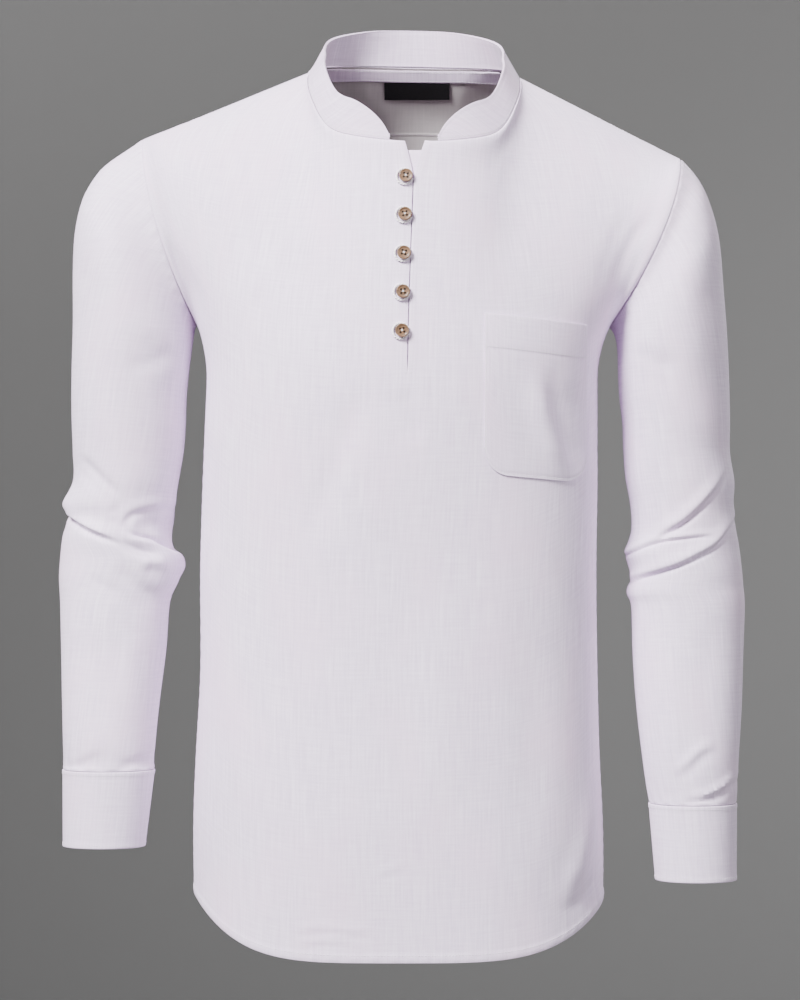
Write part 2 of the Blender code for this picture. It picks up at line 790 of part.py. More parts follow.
def collar_drop(out):
    """How much lower the collar is where it faces a level direction, most at the sides."""
    ahead = min(1.0, 1 + out.y)
    return COLLAR_SIDE_DROP * out.x**2 * ahead * ahead * (3 - 2 * ahead)


def collar_rise(out):
    """Direction in which the collar stands where its seam faces a level direction."""
    if out.y < 0:
        lean = COLLAR_LEAN_SIDE + (COLLAR_LEAN_FRONT - COLLAR_LEAN_SIDE) * -out.y
    else:
        lean = COLLAR_LEAN_SIDE + (COLLAR_LEAN_BACK - COLLAR_LEAN_SIDE) * out.y
    lean += COLLAR_LEAN_CORNER * collar_back_corner(out)
    return (Vector((0, 0, 1)) - out * lean).normalized()


def collar_grid():
    """Columns of the stand collar, with sloping front ends."""
    columns = []
    for to_end, base in collar_stations():
        out = collar_out(base)
        rise = collar_rise(out)
        missing = max(0.0, 1 - to_end / COLLAR_CORNER)
        height = COLLAR_HEIGHT * (1 - missing**COLLAR_CORNER_SQUARENESS) ** (1 / COLLAR_CORNER_SQUARENESS)
        height = max(height - collar_drop(out), COLLAR_END_HEIGHT)
        foot = base + rise * SEAM_GAP
        columns.append([foot + rise * height * i / COLLAR_ROWS for i in range(COLLAR_ROWS + 1)])
    return columns


def cuff_grid(side):
    """Columns of a cuff, lapping over itself at the back of the wrist."""
    top = SLEEVES[side][-1]
    bottom = CUFF_ENDS[side]
    count = CUFF_SPANS
    columns = []
    for i in range(count + 1):
        share = i / count
        turn = CUFF_OPENING_TURN + (2 * math.pi + CUFF_OVERLAP) * share
        lapped = min(1.0, max(0.0, (share - CUFF_LAP_START) / CUFF_LAP_RAMP))
        lift = CUFF_PROUD + (CUFF_WALL + LAID_GAP) * lapped
        column = []
        for j in range(CUFF_ROWS + 1):
            part = j / CUFF_ROWS
            ring = Ring(*(a + (b - a) * part for a, b in zip(top, bottom)))
            drop = Vector((0, 0, -CUFF_SEAM_GAP * (1 - part)))
            centre = Vector(((ring.outer_x + ring.inner_x) / 2, ring.mid_y, 0))
            point = sleeve_point(ring, turn, 1)
            away = Vector((point.x - centre.x, point.y - centre.y, 0)).normalized()
            column.append(point + away * lift + drop)
        columns.append(column)
    return columns


def solid_tree(made):
    """Search tree of an object's evaluated surface, in metres."""
    depsgraph = bpy.context.evaluated_depsgraph_get()
    return BVHTree.FromObject(made, depsgraph)


def skin_tree(columns):
    """Search tree of the outer surface through columns of points, in metres."""
    rows = len(columns[0])
    points = [point * METRES for column in columns for point in column]
    faces = []
    for i in range(len(columns) - 1):
        for j in range(rows - 1):
            near = i * rows + j
            faces.append((near, near + rows, near + rows + 1))
            faces.append((near, near + rows + 1, near + 1))
    return BVHTree.FromPolygons(points, faces)


def lay(tree, start, towards, lift):
    """Point and facing of a surface hit from a start point, lifted off it towards the start."""
    place, normal, _, _ = tree.ray_cast(start * METRES, towards)
    if place is None:
        raise ValueError(f"nothing under {tuple(start)}")
    if normal.dot(towards) > 0:
        normal = -normal
    return place / METRES + normal * lift, normal


def laid_grid(tree, points, towards, lift):
    """Grid of points laid on a surface, column by column, at a lift off it."""
    return [[lay(tree, point, towards, lift)[0] for point in column] for column in points]


def cloth_piece(name, columns, wall=CLOTH_WALL, **loft):
    """Sewn piece of the pale cloth, from the columns of its outer surface."""
    made = new_object(name, lofted_mesh(name, columns, **loft), CLOTH)
    thicken(made, wall)
    return made


def build_panels():
    """Front, back and yoke. Gives the front's skin, to lay smaller pieces on, and the yoke."""
    right, left = front_halves()
    front = slit_front(right, left)
    cloth_piece("front", front, split=(len(right) - 1, SKIRT_ROWS))
    cloth_piece("back", back_grid()[::-1])
    yoke = cloth_piece("yoke", yoke_grid(YOKE_ROWS)[::-1])
    return skin_tree(right + left[::-1][1:]), yoke


def sleeve_strip(columns, side):
    """Columns of the strip up the back of a sleeve, made from the sleeve's own columns."""
    middle = FRONT_ARMHOLE_COLUMNS + WRIST_STRIP_COLUMN
    foot = len(columns[0]) - 1
    strip = []
    for neighbour in (middle - 1, middle, middle + 1):
        strip.append([])
        for j in range(foot - WRIST_STRIP_ROWS, foot):
            centre = columns[middle][j]
            beside = columns[neighbour][j] - centre
            across = columns[middle + 1][j] - columns[middle - 1][j]
            along = columns[middle][j + 1] - columns[middle][j - 1]
            out = across.cross(along).normalized() * side
            if out.y < 0:
                out = -out
            point = centre
            if neighbour != middle:
                point = centre + beside.normalized() * WRIST_STRIP_WIDTH / 2
            strip[-1].append(point + out * (LAID_GAP + CLOTH_WALL))
    return strip


def build_sleeves():
    """Sleeves, the strips over their slits, and the cuffs that close round the wrists."""
    for side, name in ((-1, "right"), (1, "left")):
        columns = sleeve_grid(side)
        strip = sleeve_strip(columns, side)
        if side < 0:
            strip = strip[::-1]
            columns = columns[::-1]
        cloth_piece(f"sleeve_placket_{name}", strip)
        cloth_piece(f"sleeve_{name}", columns, closed=True)
        columns = cuff_grid(side)
        if side < 0:
            columns = columns[::-1]
        cloth_piece(f"cuff_{name}", columns, CUFF_WALL)


def build_collar():
    """Stand collar round the neck, open at the front."""
    cloth_piece("collar", collar_grid()[::-1], COLLAR_WALL)


def build_pocket(tree):
    """Chest pocket with a straight mouth and a rounded bottom, laid on the front."""
    columns = []
    for i in range(POCKET_COLUMNS + 1):
        across = i / POCKET_COLUMNS
        x = POCKET_X + POCKET_WIDTH * across
        to_side = (1 - abs(2 * across - 1)) * POCKET_WIDTH / 2
        corner = max(0.0, 1 - to_side / POCKET_CORNER)
        rise = POCKET_CORNER * (1 - math.sqrt(1 - corner**2))
        top = POCKET_TOP - POCKET_DROOP * across
        bottom = POCKET_TOP - POCKET_HEIGHT - POCKET_DROOP * across + rise
        column = []
        for j in range(POCKET_ROWS + 1):
            column.append(Vector((x, -OUTSIDE, bottom + (top - bottom) * j / POCKET_ROWS)))
        columns.append(column)
    laid = laid_grid(tree, columns, Vector((0, 1, 0)), POCKET_GAP + CLOTH_WALL)
    cloth_piece("pocket", laid)


def slit_middle(height):
    """Point in front of the closed slit at a height."""
    share = (height - CHEST_LINE) / (VEE_HEIGHT - CHEST_LINE)
    x = SLIT_FOOT_X + (SLIT_VEE_X - SLIT_FOOT_X) * share
    return Vector((x, -OUTSIDE, height))


def build_underlap(tree):
    """Strip behind the slit, laid on the inside of the front."""
    columns = []
    for i in range(UNDERLAP_COLUMNS + 1):
        column = []
        for j in range(UNDERLAP_ROWS + 1):
            height = UNDERLAP_FOOT + (UNDERLAP_TOP - UNDERLAP_FOOT) * j / UNDERLAP_ROWS
            x = slit_middle(height).x + UNDERLAP_RIGHT + UNDERLAP_WIDTH * i / UNDERLAP_COLUMNS
            column.append(Vector((x, 0, height)))
        columns.append(column)
    laid = laid_grid(tree, columns, Vector((0, -1, 0)), CLOTH_WALL + LAID_GAP)
    cloth_piece("underlap", laid, UNDERLAP_WALL)


def turned_button(name, place, normal):
    """Button with four holes, lying square to a facing."""
    shape = bmesh.new()
    bmesh.ops.create_cone(
        shape, cap_ends=True, segments=BUTTON_SIDES, radius1=BUTTON_RADIUS * METRES,
        radius2=BUTTON_RADIUS * METRES, depth=BUTTON_THICKNESS * METRES,
    )
    mesh = bpy.data.meshes.new(name)
    shape.to_mesh(mesh)
    shape.free()
    made = new_object(name, mesh, WOOD, 0.45)
    made.location = place * METRES
    made.rotation_mode = "QUATERNION"
    made.rotation_quaternion = normal.to_track_quat("Z", "X")
    holes = bmesh.new()
    for x, y in ((1, 1), (-1, 1), (-1, -1), (1, -1)):
        hole = bmesh.ops.create_cone(
            holes, cap_ends=True, segments=HOLE_SIDES, radius1=HOLE_RADIUS * METRES,
            radius2=HOLE_RADIUS * METRES, depth=3 * BUTTON_THICKNESS * METRES,
        )
        offset = Vector((x, y, 0)) * HOLE_OFFSET * METRES
        bmesh.ops.translate(holes, verts=hole["verts"], vec=offset)
    cutter_mesh = bpy.data.meshes.new(name + "_holes")
    holes.to_mesh(cutter_mesh)
    holes.free()
    cutter = bpy.data.objects.new(name + "_holes", cutter_mesh)
    bpy.data.collections[CUTTERS].objects.link(cutter)
    cutter.matrix_basis = made.matrix_basis
    cutter.hide_render = True
    cutter.display_type = "WIRE"
    cut = made.modifiers.new("holes", "BOOLEAN")
    cut.operation = "DIFFERENCE"
    cut.solver = "EXACT"
    cut.object = cutter
    return made


def build_fastening(tree):
    """Buttons down the slit, each with a loop of cord from the slit's other edge."""
    for number in range(BUTTON_COUNT):
        height = BUTTON_TOP - BUTTON_PITCH * number
        slit = slit_middle(height)
        start = slit - Vector((BUTTON_FROM_SLIT, 0, 0))
        place, normal = lay(tree, start, Vector((0, 1, 0)), BUTTON_LIFT + BUTTON_THICKNESS / 2)
        turned_button(f"button_{number + 1}", place, normal)
        loop_path = []
        for i in range(LOOP_POINTS + 1):
            turn = LOOP_OPENING + (2 * math.pi - 2 * LOOP_OPENING) * i / LOOP_POINTS
            offset = Vector((math.cos(turn), 0, math.sin(turn))) * LOOP_RADIUS
            loop_path.append(lay(tree, start + offset, Vector((0, 1, 0)), LOOP_LIFT)[0])
        cord = bpy.data.curves.new(f"loop_{number + 1}", "CURVE")
        cord.dimensions = "3D"
        cord.bevel_depth = LOOP_CORD_RADIUS * METRES
        cord.bevel_resolution = 2
        cord.use_fill_caps = True
        spline = cord.splines.new("POLY")
        spline.points.add(len(loop_path) - 1)
        for knot, point in zip(spline.points, loop_path):
            knot.co = (*(point * METRES), 1)
        new_object(f"loop_{number + 1}", cord, CLOTH)


def build_neck_trim(tree):
    """Facing strip under the collar seam and the small label, laid inside the yoke."""
    columns = []
    for i in range(TAPE_COLUMNS + 1):
        turn = math.pi + TAPE_SPREAD * (2 * i / TAPE_COLUMNS - 1)
        side = -1 if turn < math.pi else 1
        seam = neck_point(side, turn if side < 0 else 2 * math.pi - turn)
        inward = Vector((NECK_X - seam.x, NECK_Y - seam.y, 0)).normalized()
        column = []
        for j in range(TAPE_ROWS + 1):
            drop = TAPE_DROP + TAPE_HEIGHT * (1 - j / TAPE_ROWS)
            start = seam + inward * TAPE_CLEARANCE + Vector((0, 0, -drop))
            column.append(lay(tree, start, -inward, TAPE_GAP)[0])
        columns.append(column)
    cloth_piece("neck_tape", columns[::-1], TAPE_WALL)
    columns = []
    for i in range(LABEL_COLUMNS + 1):
        x = LABEL_X + LABEL_WIDTH * (i / LABEL_COLUMNS - 0.5)
        column = []
        for j in (0, 1):
            start = Vector((x, 0, LABEL_HEIGHT + LABEL_DEPTH * (j - 0.5)))
            column.append(lay(tree, start, Vector((0, 1, 0)), LABEL_GAP)[0])
        columns.append(column)
    label = new_object("label", lofted_mesh("label", columns[::-1]), DARK)
    thicken(label, LABEL_WALL)


def build_wrist_fastening():
    """Button of each cuff, on its upper layer at the back of the wrist."""
    for side, name in ((-1, "right"), (1, "left")):
        end = SLEEVES[side][-1]
        middle = (end.outer_x + end.inner_x) / 2 + side * CUFF_BUTTON_SHIFT
        tree = solid_tree(bpy.data.objects[f"cuff_{name}"])
        start = Vector((middle, OUTSIDE, end.outer_z - CUFF_BUTTON_DROP))
        lift = LAID_GAP + BUTTON_THICKNESS / 2
        place, normal = lay(tree, start, Vector((0, -1, 0)), lift)
        turned_button(f"cuff_button_{name}", place, normal)


def clear_scene():
    """Remove what the scene holds and make the kurta's collection."""
    for old in list(bpy.data.objects):
        bpy.data.objects.remove(old)
    for name in (NAME, CUTTERS):
        collection = bpy.data.collections.new(name)
        bpy.context.scene.collection.children.link(collection)


clear_scene()
front_skin, yoke_piece = build_panels()
build_sleeves()
build_collar()
build_pocket(front_skin)
build_underlap(front_skin)
build_fastening(front_skin)
build_neck_trim(solid_tree(yoke_piece))
build_wrist_fastening()
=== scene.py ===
"""Looks of a short kurta in pale cotton: cloth shells with creases, sewing, buttons and studio.

Sizes are millimetres and finished meshes are metres. +X is the wearer's left, the front faces
-Y and +Z is up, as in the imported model. Height 0 is the neck at shoulder level.
"""

import logging
import math
from dataclasses import dataclass, field
from enum import Enum

import bmesh
import bpy
import numpy as np
from mathutils import Matrix, Vector
from mathutils.bvhtree import BVHTree


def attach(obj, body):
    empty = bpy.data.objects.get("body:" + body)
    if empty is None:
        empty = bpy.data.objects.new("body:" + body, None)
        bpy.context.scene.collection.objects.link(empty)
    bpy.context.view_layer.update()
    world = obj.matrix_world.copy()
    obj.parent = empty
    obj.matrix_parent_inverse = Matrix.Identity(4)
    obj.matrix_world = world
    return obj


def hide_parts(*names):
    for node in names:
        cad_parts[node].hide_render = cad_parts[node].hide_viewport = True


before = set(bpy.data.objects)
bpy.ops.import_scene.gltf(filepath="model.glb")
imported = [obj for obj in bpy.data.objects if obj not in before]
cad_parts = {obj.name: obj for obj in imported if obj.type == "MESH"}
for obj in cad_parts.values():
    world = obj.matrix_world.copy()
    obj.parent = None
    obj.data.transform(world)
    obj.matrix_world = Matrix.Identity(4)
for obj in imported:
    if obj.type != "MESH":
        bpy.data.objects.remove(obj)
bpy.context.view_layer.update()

log = logging.getLogger("kurta")

Array = np.ndarray
Pair = tuple[float, float]
Triple = tuple[float, float, float]

METRES = 0.001
ROOT = "root"
SIDEWAYS = np.array((1.0, 0.0, 0.0))
BACKWARDS: Triple = (0.0, 1.0, 0.0)
FORWARDS: Triple = (0.0, -1.0, 0.0)
OUTSIDE = 300.0
SEAM_MARK = 2.0
CLOTH_MAP = "cloth"


class Face(Enum):
    """Side of the garment that a crease lies on; the value is the facing's sign in y."""

    FRONT = -1
    BACK = 1


class Edge(Enum):
    """The four edges of a cloth grid."""

    FIRST_COLUMN = "first column"
    LAST_COLUMN = "last column"
    FOOT = "foot"
    TOP = "top"


SIDES = (Edge.FIRST_COLUMN, Edge.LAST_COLUMN)


class Slot(Enum):
    """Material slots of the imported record."""

    CLOTH = "cloth"
    CORD = "cord"
    WOOD = "wood"
    LABEL = "label"


# Curves


MARK_SHIFTS = (-1.7, -0.8, 0.0, 0.8, 1.7)
MARK_CLEARANCE = 0.55


def ease(share: Array) -> Array:
    """Smooth step from 0 to 1 as the share goes from 0 to 1."""
    held = np.clip(share, 0.0, 1.0)
    return held * held * (3.0 - 2.0 * held)


def bent(value: Array, power: float) -> Array:
    """Power of a value that keeps the value's sign."""
    return np.copysign(np.abs(value) ** power, value)


def hermite(start: Array, leave: Array, end: Array, arrive: Array, share: Array) -> Array:
    """Point on the cubic from start to end with the given tangents.

    Args:
        start: First point.
        leave: Tangent at the first point.
        end: Last point.
        arrive: Tangent at the last point.
        share: Place along the cubic, from 0 to 1.

    Returns:
        The point or points at the share.
    """
    square = share * share
    cube = square * share
    return (
        start * (2 * cube - 3 * square + 1)
        + leave * (cube - 2 * square + share)
        + end * (3 * square - 2 * cube)
        + arrive * (cube - square)
    )


def smooth_table(rows: Array, at: Array) -> Array:
    """Values of a table's columns on smooth curves through its rows.

    Args:
        rows: Table whose first column is the rising key.
        at: Keys to read the table at.

    Returns:
        One row of values for each key.
    """
    keys = rows[:, 0]
    values = rows[:, 1:]
    held = np.clip(at, keys[0], keys[-1])
    right = np.clip(np.searchsorted(keys, held), 1, len(keys) - 1)
    left = right - 1
    span = (keys[right] - keys[left])[:, None]

    def slope(place: Array) -> Array:
        """Slope of the curves at a row, over the span."""
        low = np.maximum(place - 1, 0)
        high = np.minimum(place + 1, len(keys) - 1)
        return (values[high] - values[low]) / (keys[high] - keys[low])[:, None] * span

    share = (held - keys[left])[:, None] / span
    return hermite(values[left], slope(left), values[right], slope(right), share)


def smooth_path(points: Array, parts: int = 6) -> Array:
    """Points along a smooth curve through the given ones."""
    keyed = np.column_stack((np.arange(len(points)), points))
    return smooth_table(keyed, np.linspace(0, len(points) - 1, (len(points) - 1) * parts + 1))


def spaced(length: float, step: float, marks: tuple[float, ...] = ()) -> Array:
    """Distances from 0 to a length, about a step apart and closer beside each mark."""
    even = np.linspace(0.0, length, max(2, round(length / step) + 1))
    close = [mark + shift for mark in marks for shift in MARK_SHIFTS]
    close = [place for place in close if 0.0 < place < length]
    kept = [place for place in even if all(abs(place - other) > MARK_CLEARANCE * step for other in close)]
    ends = [0.0, float(length)]
    return np.array(sorted(set(kept) | set(close) | set(ends)))


def edged_rows(close: tuple[float, ...], middle: Pair, count: int) -> Array:
    """Shares from 0 to 1 that are even in the middle and close together at both ends."""
    ends = np.array(close)
    return np.concatenate((ends, np.linspace(*middle, count), 1.0 - ends[::-1]))


def distances(path: Array) -> Array:
    """Distance of each point of a path from its first one, along it."""
    steps = np.linalg.norm(np.diff(path, axis=0), axis=1)
    return np.concatenate(([0.0], np.cumsum(steps)))


def resampled(path: Array, pitch: float) -> Array:
    """Places along a path's points, one pitch apart, in counts of its points."""
    travelled = distances(path)
    count = max(2, int(travelled[-1] / pitch))
    return np.interp(np.linspace(0, travelled[-1], count), travelled, np.arange(len(path)))


# Cloth


FOLD_REACH = 5.0
FOLD_TAPER = 0.34
LIP_PLACE = 1.7
LIP_WIDTH = 1.1
TURNED_AWAY = 0.30
TURNED_SPAN = 0.5
WAVES = 12
LENGTHWISE = 0.38
PUCKER_REACH = 6.5
PUCKER_START = 2.5
PUCKER_DRIFTS = ((2.1, 23.0), (1.3, 61.0))
STITCH_SUNK = 0.32
STITCH_WIDTH = 0.9
ROLL = 1.2


@dataclass(frozen=True)
class Fold:
    """Crease drawn as a path in the front view, with a hollow on its right-hand side.

    A negative rise is a trough, and the lip is then a ridge beside it. A small crispness makes
    the right-hand side steep.
    """

    path: tuple[Pair, ...]
    width: float
    rise: float
    lip: float = 0.0
    face: Face = Face.FRONT
    crispness: float = 1.0

    def push(self, points: Array, normals: Array) -> Array:
        """How far the fold moves each point along its normal.

        Args:
            points: Points in millimetres, one to a row.
            normals: Facings of the points.

        Returns:
            One distance for each point.
        """
        line = smooth_path(np.array(self.path, float))
        flat = points[:, (0, 2)]
        reach = FOLD_REACH * self.width
        inside = np.all((flat > line.min(0) - reach) & (flat < line.max(0) + reach), axis=1)
        pushed = np.zeros(len(points))
        if not inside.any():
            return pushed
        starts = line[:-1]
        steps = line[1:] - starts
        offset = flat[inside][:, None] - starts[None]
        share = np.clip((offset * steps).sum(-1) / (steps**2).sum(-1), 0.0, 1.0)
        foot = offset - share[..., None] * steps
        distance = np.linalg.norm(foot, axis=-1)
        best = distance.argmin(axis=1)
        rows = np.arange(len(best))
        turn = steps[best, 0] * foot[rows, best, 1] - steps[best, 1] * foot[rows, best, 0]
        signed = distance[rows, best] * np.sign(turn)
        way = (best + share[rows, best]) / len(steps)
        taper = ease(np.minimum(way, 1.0 - way) / FOLD_TAPER)
        steep = self.width * self.crispness
        main = np.exp(-((signed / np.where(signed > 0, self.width, steep)) ** 2))
        beside = np.exp(-(((signed + LIP_PLACE * steep) / (LIP_WIDTH * steep)) ** 2))
        facing = ease((normals[inside, 1] * self.face.value + TURNED_AWAY) / TURNED_SPAN)
        pushed[inside] = self.rise * taper * (main - self.lip * beside) * facing
        return pushed


def unevenness(points: Array, length: float, seed: int) -> Array:
    """Gentle unevenness of hanging cloth, from -1 to 1, longer down the cloth than across.

    Args:
        points: Points in millimetres, one to a row.
        length: Typical size of a rise or dip.
        seed: Choice of pattern.

    Returns:
        One value for each point.
    """
    chance = np.random.default_rng(seed)
    total = np.zeros(len(points))
    for _ in range(WAVES):
        direction = chance.normal(size=3) * (1.0, 1.0, LENGTHWISE)
        phase = chance.uniform(0.0, 2.0 * math.pi)
        total += np.sin(points @ direction * (2.0 / length) + phase)
    return total / math.sqrt(WAVES)


@dataclass
class ClothGrid:
    """Outer surface of a piece of cloth: columns of points, from its foot to its top."""

    points: Array
    closed: bool = False
    across: Array = field(init=False)
    along: Array = field(init=False)

    def __post_init__(self) -> None:
        """Measure the distances across and along the cloth."""
        steps = np.linalg.norm(np.diff(self.points, axis=0), axis=2)
        self.across = np.concatenate((np.zeros((1, steps.shape[1])), np.cumsum(steps, axis=0)))
        steps = np.linalg.norm(np.diff(self.points, axis=1), axis=2)
        self.along = np.concatenate((np.zeros((steps.shape[0], 1)), np.cumsum(steps, axis=1)), 1)

    def normals(self) -> Array:
        """Facing of each point."""
        grid = self.points
        if self.closed:
            grid = np.concatenate((grid[-1:], grid, grid[:1]))
        facing = np.cross(np.gradient(grid, axis=0), np.gradient(grid, axis=1))
        if self.closed:
            facing = facing[1:-1]
        size = np.linalg.norm(facing, axis=2, keepdims=True)
        return facing / np.maximum(size, 1e-9)

    def distance(self, edge: Edge) -> Array:
        """Distance of each point from an edge, measured on the cloth."""
        if edge is Edge.FIRST_COLUMN:
            return self.across
        if edge is Edge.LAST_COLUMN:
            return self.across[-1:] - self.across
        if edge is Edge.FOOT:
            return self.along
        return self.along[:, -1:] - self.along

    def moved(self, amount: Array) -> "ClothGrid":
        """The grid with each point moved along its facing, and the old measures."""
        return self.shifted(self.normals() * amount[..., None])

    def shifted(self, shift: Array) -> "ClothGrid":
        """The grid with each point shifted, and the old measures."""
        made = ClothGrid(self.points + shift, self.closed)
        made.across = self.across
        made.along = self.along
        return made

    def creased(self, folds: tuple[Fold, ...], fade: Array) -> "ClothGrid":
        """The grid with folds pushed into it.

        Args:
            folds: The folds of the cloth.
            fade: Share of each fold that each point keeps.

        Returns:
            The creased grid.
        """
        flat = self.points.reshape(-1, 3)
        facing = self.normals().reshape(-1, 3)
        total = np.zeros(len(flat))
        for fold in folds:
            total += fold.push(flat, facing)
        return self.moved(total.reshape(self.across.shape) * fade)

    def relaxed(self, rounds: int, weight: Array) -> "ClothGrid":
        """The grid evened out by drawing each point towards its neighbours.

        Args:
            rounds: How often the points are drawn.
            weight: Share of the pull that each point follows; the edges stay.

        Returns:
            The evened grid.
        """
        points = self.points.copy()
        pull = 0.5 * weight[1:-1, 1:-1, None]
        for _ in range(rounds):
            middle = points[1:-1, 1:-1]
            around = points[:-2, 1:-1] + points[2:, 1:-1] + points[1:-1, :-2] + points[1:-1, 2:]
            points[1:-1, 1:-1] = middle + pull * (around / 4 - middle)
        return ClothGrid(points)

    def uneven(self, rise: float, length: float, seed: int, fade: Array) -> "ClothGrid":
        """The grid with gentle rises and dips of a size and length, faded by weights."""
        pattern = unevenness(self.points.reshape(-1, 3), length, seed).reshape(self.across.shape)
        return self.moved(rise * pattern * fade)

    def fade(self, reach: float, *edges: Edge) -> Array:
        """Weights that fall to nothing at some edges, over a reach."""
        weight = np.ones(self.across.shape)
        for edge in edges:
            weight = weight * ease(self.distance(edge) / reach)
        return weight

    def faded_ends(self, reaches: Pair) -> Array:
        """Weights that fall to nothing at the top and the foot, over a reach for each."""
        return self.fade(reaches[0], Edge.TOP) * self.fade(reaches[1], Edge.FOOT)

    def puckered(self, edge: Edge, rise: float = 0.28, pitch: float = 11.0) -> "ClothGrid":
        """The grid with the small puckers that a sewn seam draws into the cloth beside it."""
        distance = self.distance(edge)
        way = self.along if edge in SIDES else self.across
        drift = sum(size * np.sin(way / length) for size, length in PUCKER_DRIFTS)
        wave = np.sin(2 * math.pi * way / pitch + drift)
        near = np.exp(-distance / PUCKER_REACH) * ease(distance / PUCKER_START)
        return self.moved(rise * wave * near)

    def turned_edge(self, edge: Edge, band: float, proud: float = 0.45) -> "ClothGrid":
        """The grid with a doubled band along an edge, sunk where its stitches pull it in."""
        distance = self.distance(edge)
        step = 1.0 - ease((distance - band) / ROLL)
        sunk = np.exp(-(((distance - band) / STITCH_WIDTH) ** 2))
        rolled = (1.0 - np.clip(distance / ROLL, 0.0, 1.0)) ** 2
        return self.moved(proud * step - STITCH_SUNK * sunk - proud / 2 * rolled)

    def seamed(self, edge: Edge, depth: float = 0.45, reach: float = 1.8) -> "ClothGrid":
        """The grid with an edge rolled in to its seam."""
        distance = self.distance(edge)
        return self.moved(-depth * (1.0 - ease(distance / reach)))

    def area(self) -> float:
        """Area of the surface."""
        grid = np.concatenate((self.points, self.points[:1])) if self.closed else self.points
        first = np.cross(grid[1:, :-1] - grid[:-1, :-1], grid[:-1, 1:] - grid[:-1, :-1])
        second = np.cross(grid[1:, 1:] - grid[1:, :-1], grid[1:, 1:] - grid[:-1, 1:])
        return float((np.linalg.norm(first, axis=2) + np.linalg.norm(second, axis=2)).sum() / 2)

    def width(self) -> float:
        """Widest row of the lower half, as rows above it run round armholes and the neck."""
        girth = self.across[-1]
        if self.closed:
            girth = girth + np.linalg.norm(self.points[-1] - self.points[0], axis=1)
        return float(girth[:len(girth) // 2].max())

    def line(self, edge: Edge, inset: float) -> tuple[Array, Array]:
        """Points and facings along the cloth at a distance from one of its edges.

        Args:
            edge: The edge that the line follows.
            inset: Its distance from that edge.

        Returns:
            The line's points and their facings.
        """
        distance = self.distance(edge)
        points = self.points
        facing = self.normals()
        if edge in SIDES:
            distance = distance.T
            points = points.transpose(1, 0, 2)
            facing = facing.transpose(1, 0, 2)
        if edge in (Edge.LAST_COLUMN, Edge.TOP):
            distance = distance[:, ::-1]
            points = points[:, ::-1]
            facing = facing[:, ::-1]
        found = []
        for measure, row, normals in zip(distance, points, facing):
            found.append([
                [np.interp(inset, measure, values[:, axis]) for axis in range(3)]
                for values in (row, normals)
            ])
        both = np.array(found)
        return both[:, 0], both[:, 1]

    def mesh(self, name: str, split: int | None = None) -> bpy.types.Mesh:
        """Mesh of the surface, in metres, with a map of the cloth in metres.

        Args:
            name: The mesh's name.
            split: The column after which the grid is open, down to where the columns meet.

        Returns:
            The mesh.
        """
        columns, rows = self.across.shape
        last = columns if self.closed else columns - 1
        near = np.array([i for i in range(last) if i != split])
        far = (near + 1) % columns
        foot = np.arange(rows - 1)
        near_foot = (near[:, None] * rows + foot).ravel()
        far_foot = (far[:, None] * rows + foot).ravel()
        faces = np.column_stack((near_foot, far_foot, far_foot + 1, near_foot + 1))
        made = bpy.data.meshes.new(name)
        made.from_pydata((self.points.reshape(-1, 3) * METRES).tolist(), [], faces.tolist())
        middle = self.across[columns // 2]
        width = self.across - middle
        girth = np.linalg.norm(self.points[-1] - self.points[0], axis=1) + self.across[-1]
        chart = np.stack((width, self.along), axis=2) * METRES
        flat = chart.reshape(-1, 2)[faces.ravel()].reshape(len(near), rows - 1, 4, 2)
        if self.closed:
            seam = (girth - middle) * METRES
            flat[-1, :, 1, 0] = seam[:-1]
            flat[-1, :, 2, 0] = seam[1:]
        layer = made.uv_layers.new(name=CLOTH_MAP)
        layer.data.foreach_set("uv", flat.ravel())
        made.update()
        return made


# Form of the garment


@dataclass(frozen=True)
class Shoulder:
    """Shoulder tip and underarm of one side, in the front view."""

    tip_x: float
    tip_z: float
    under_x: float
    under_z: float


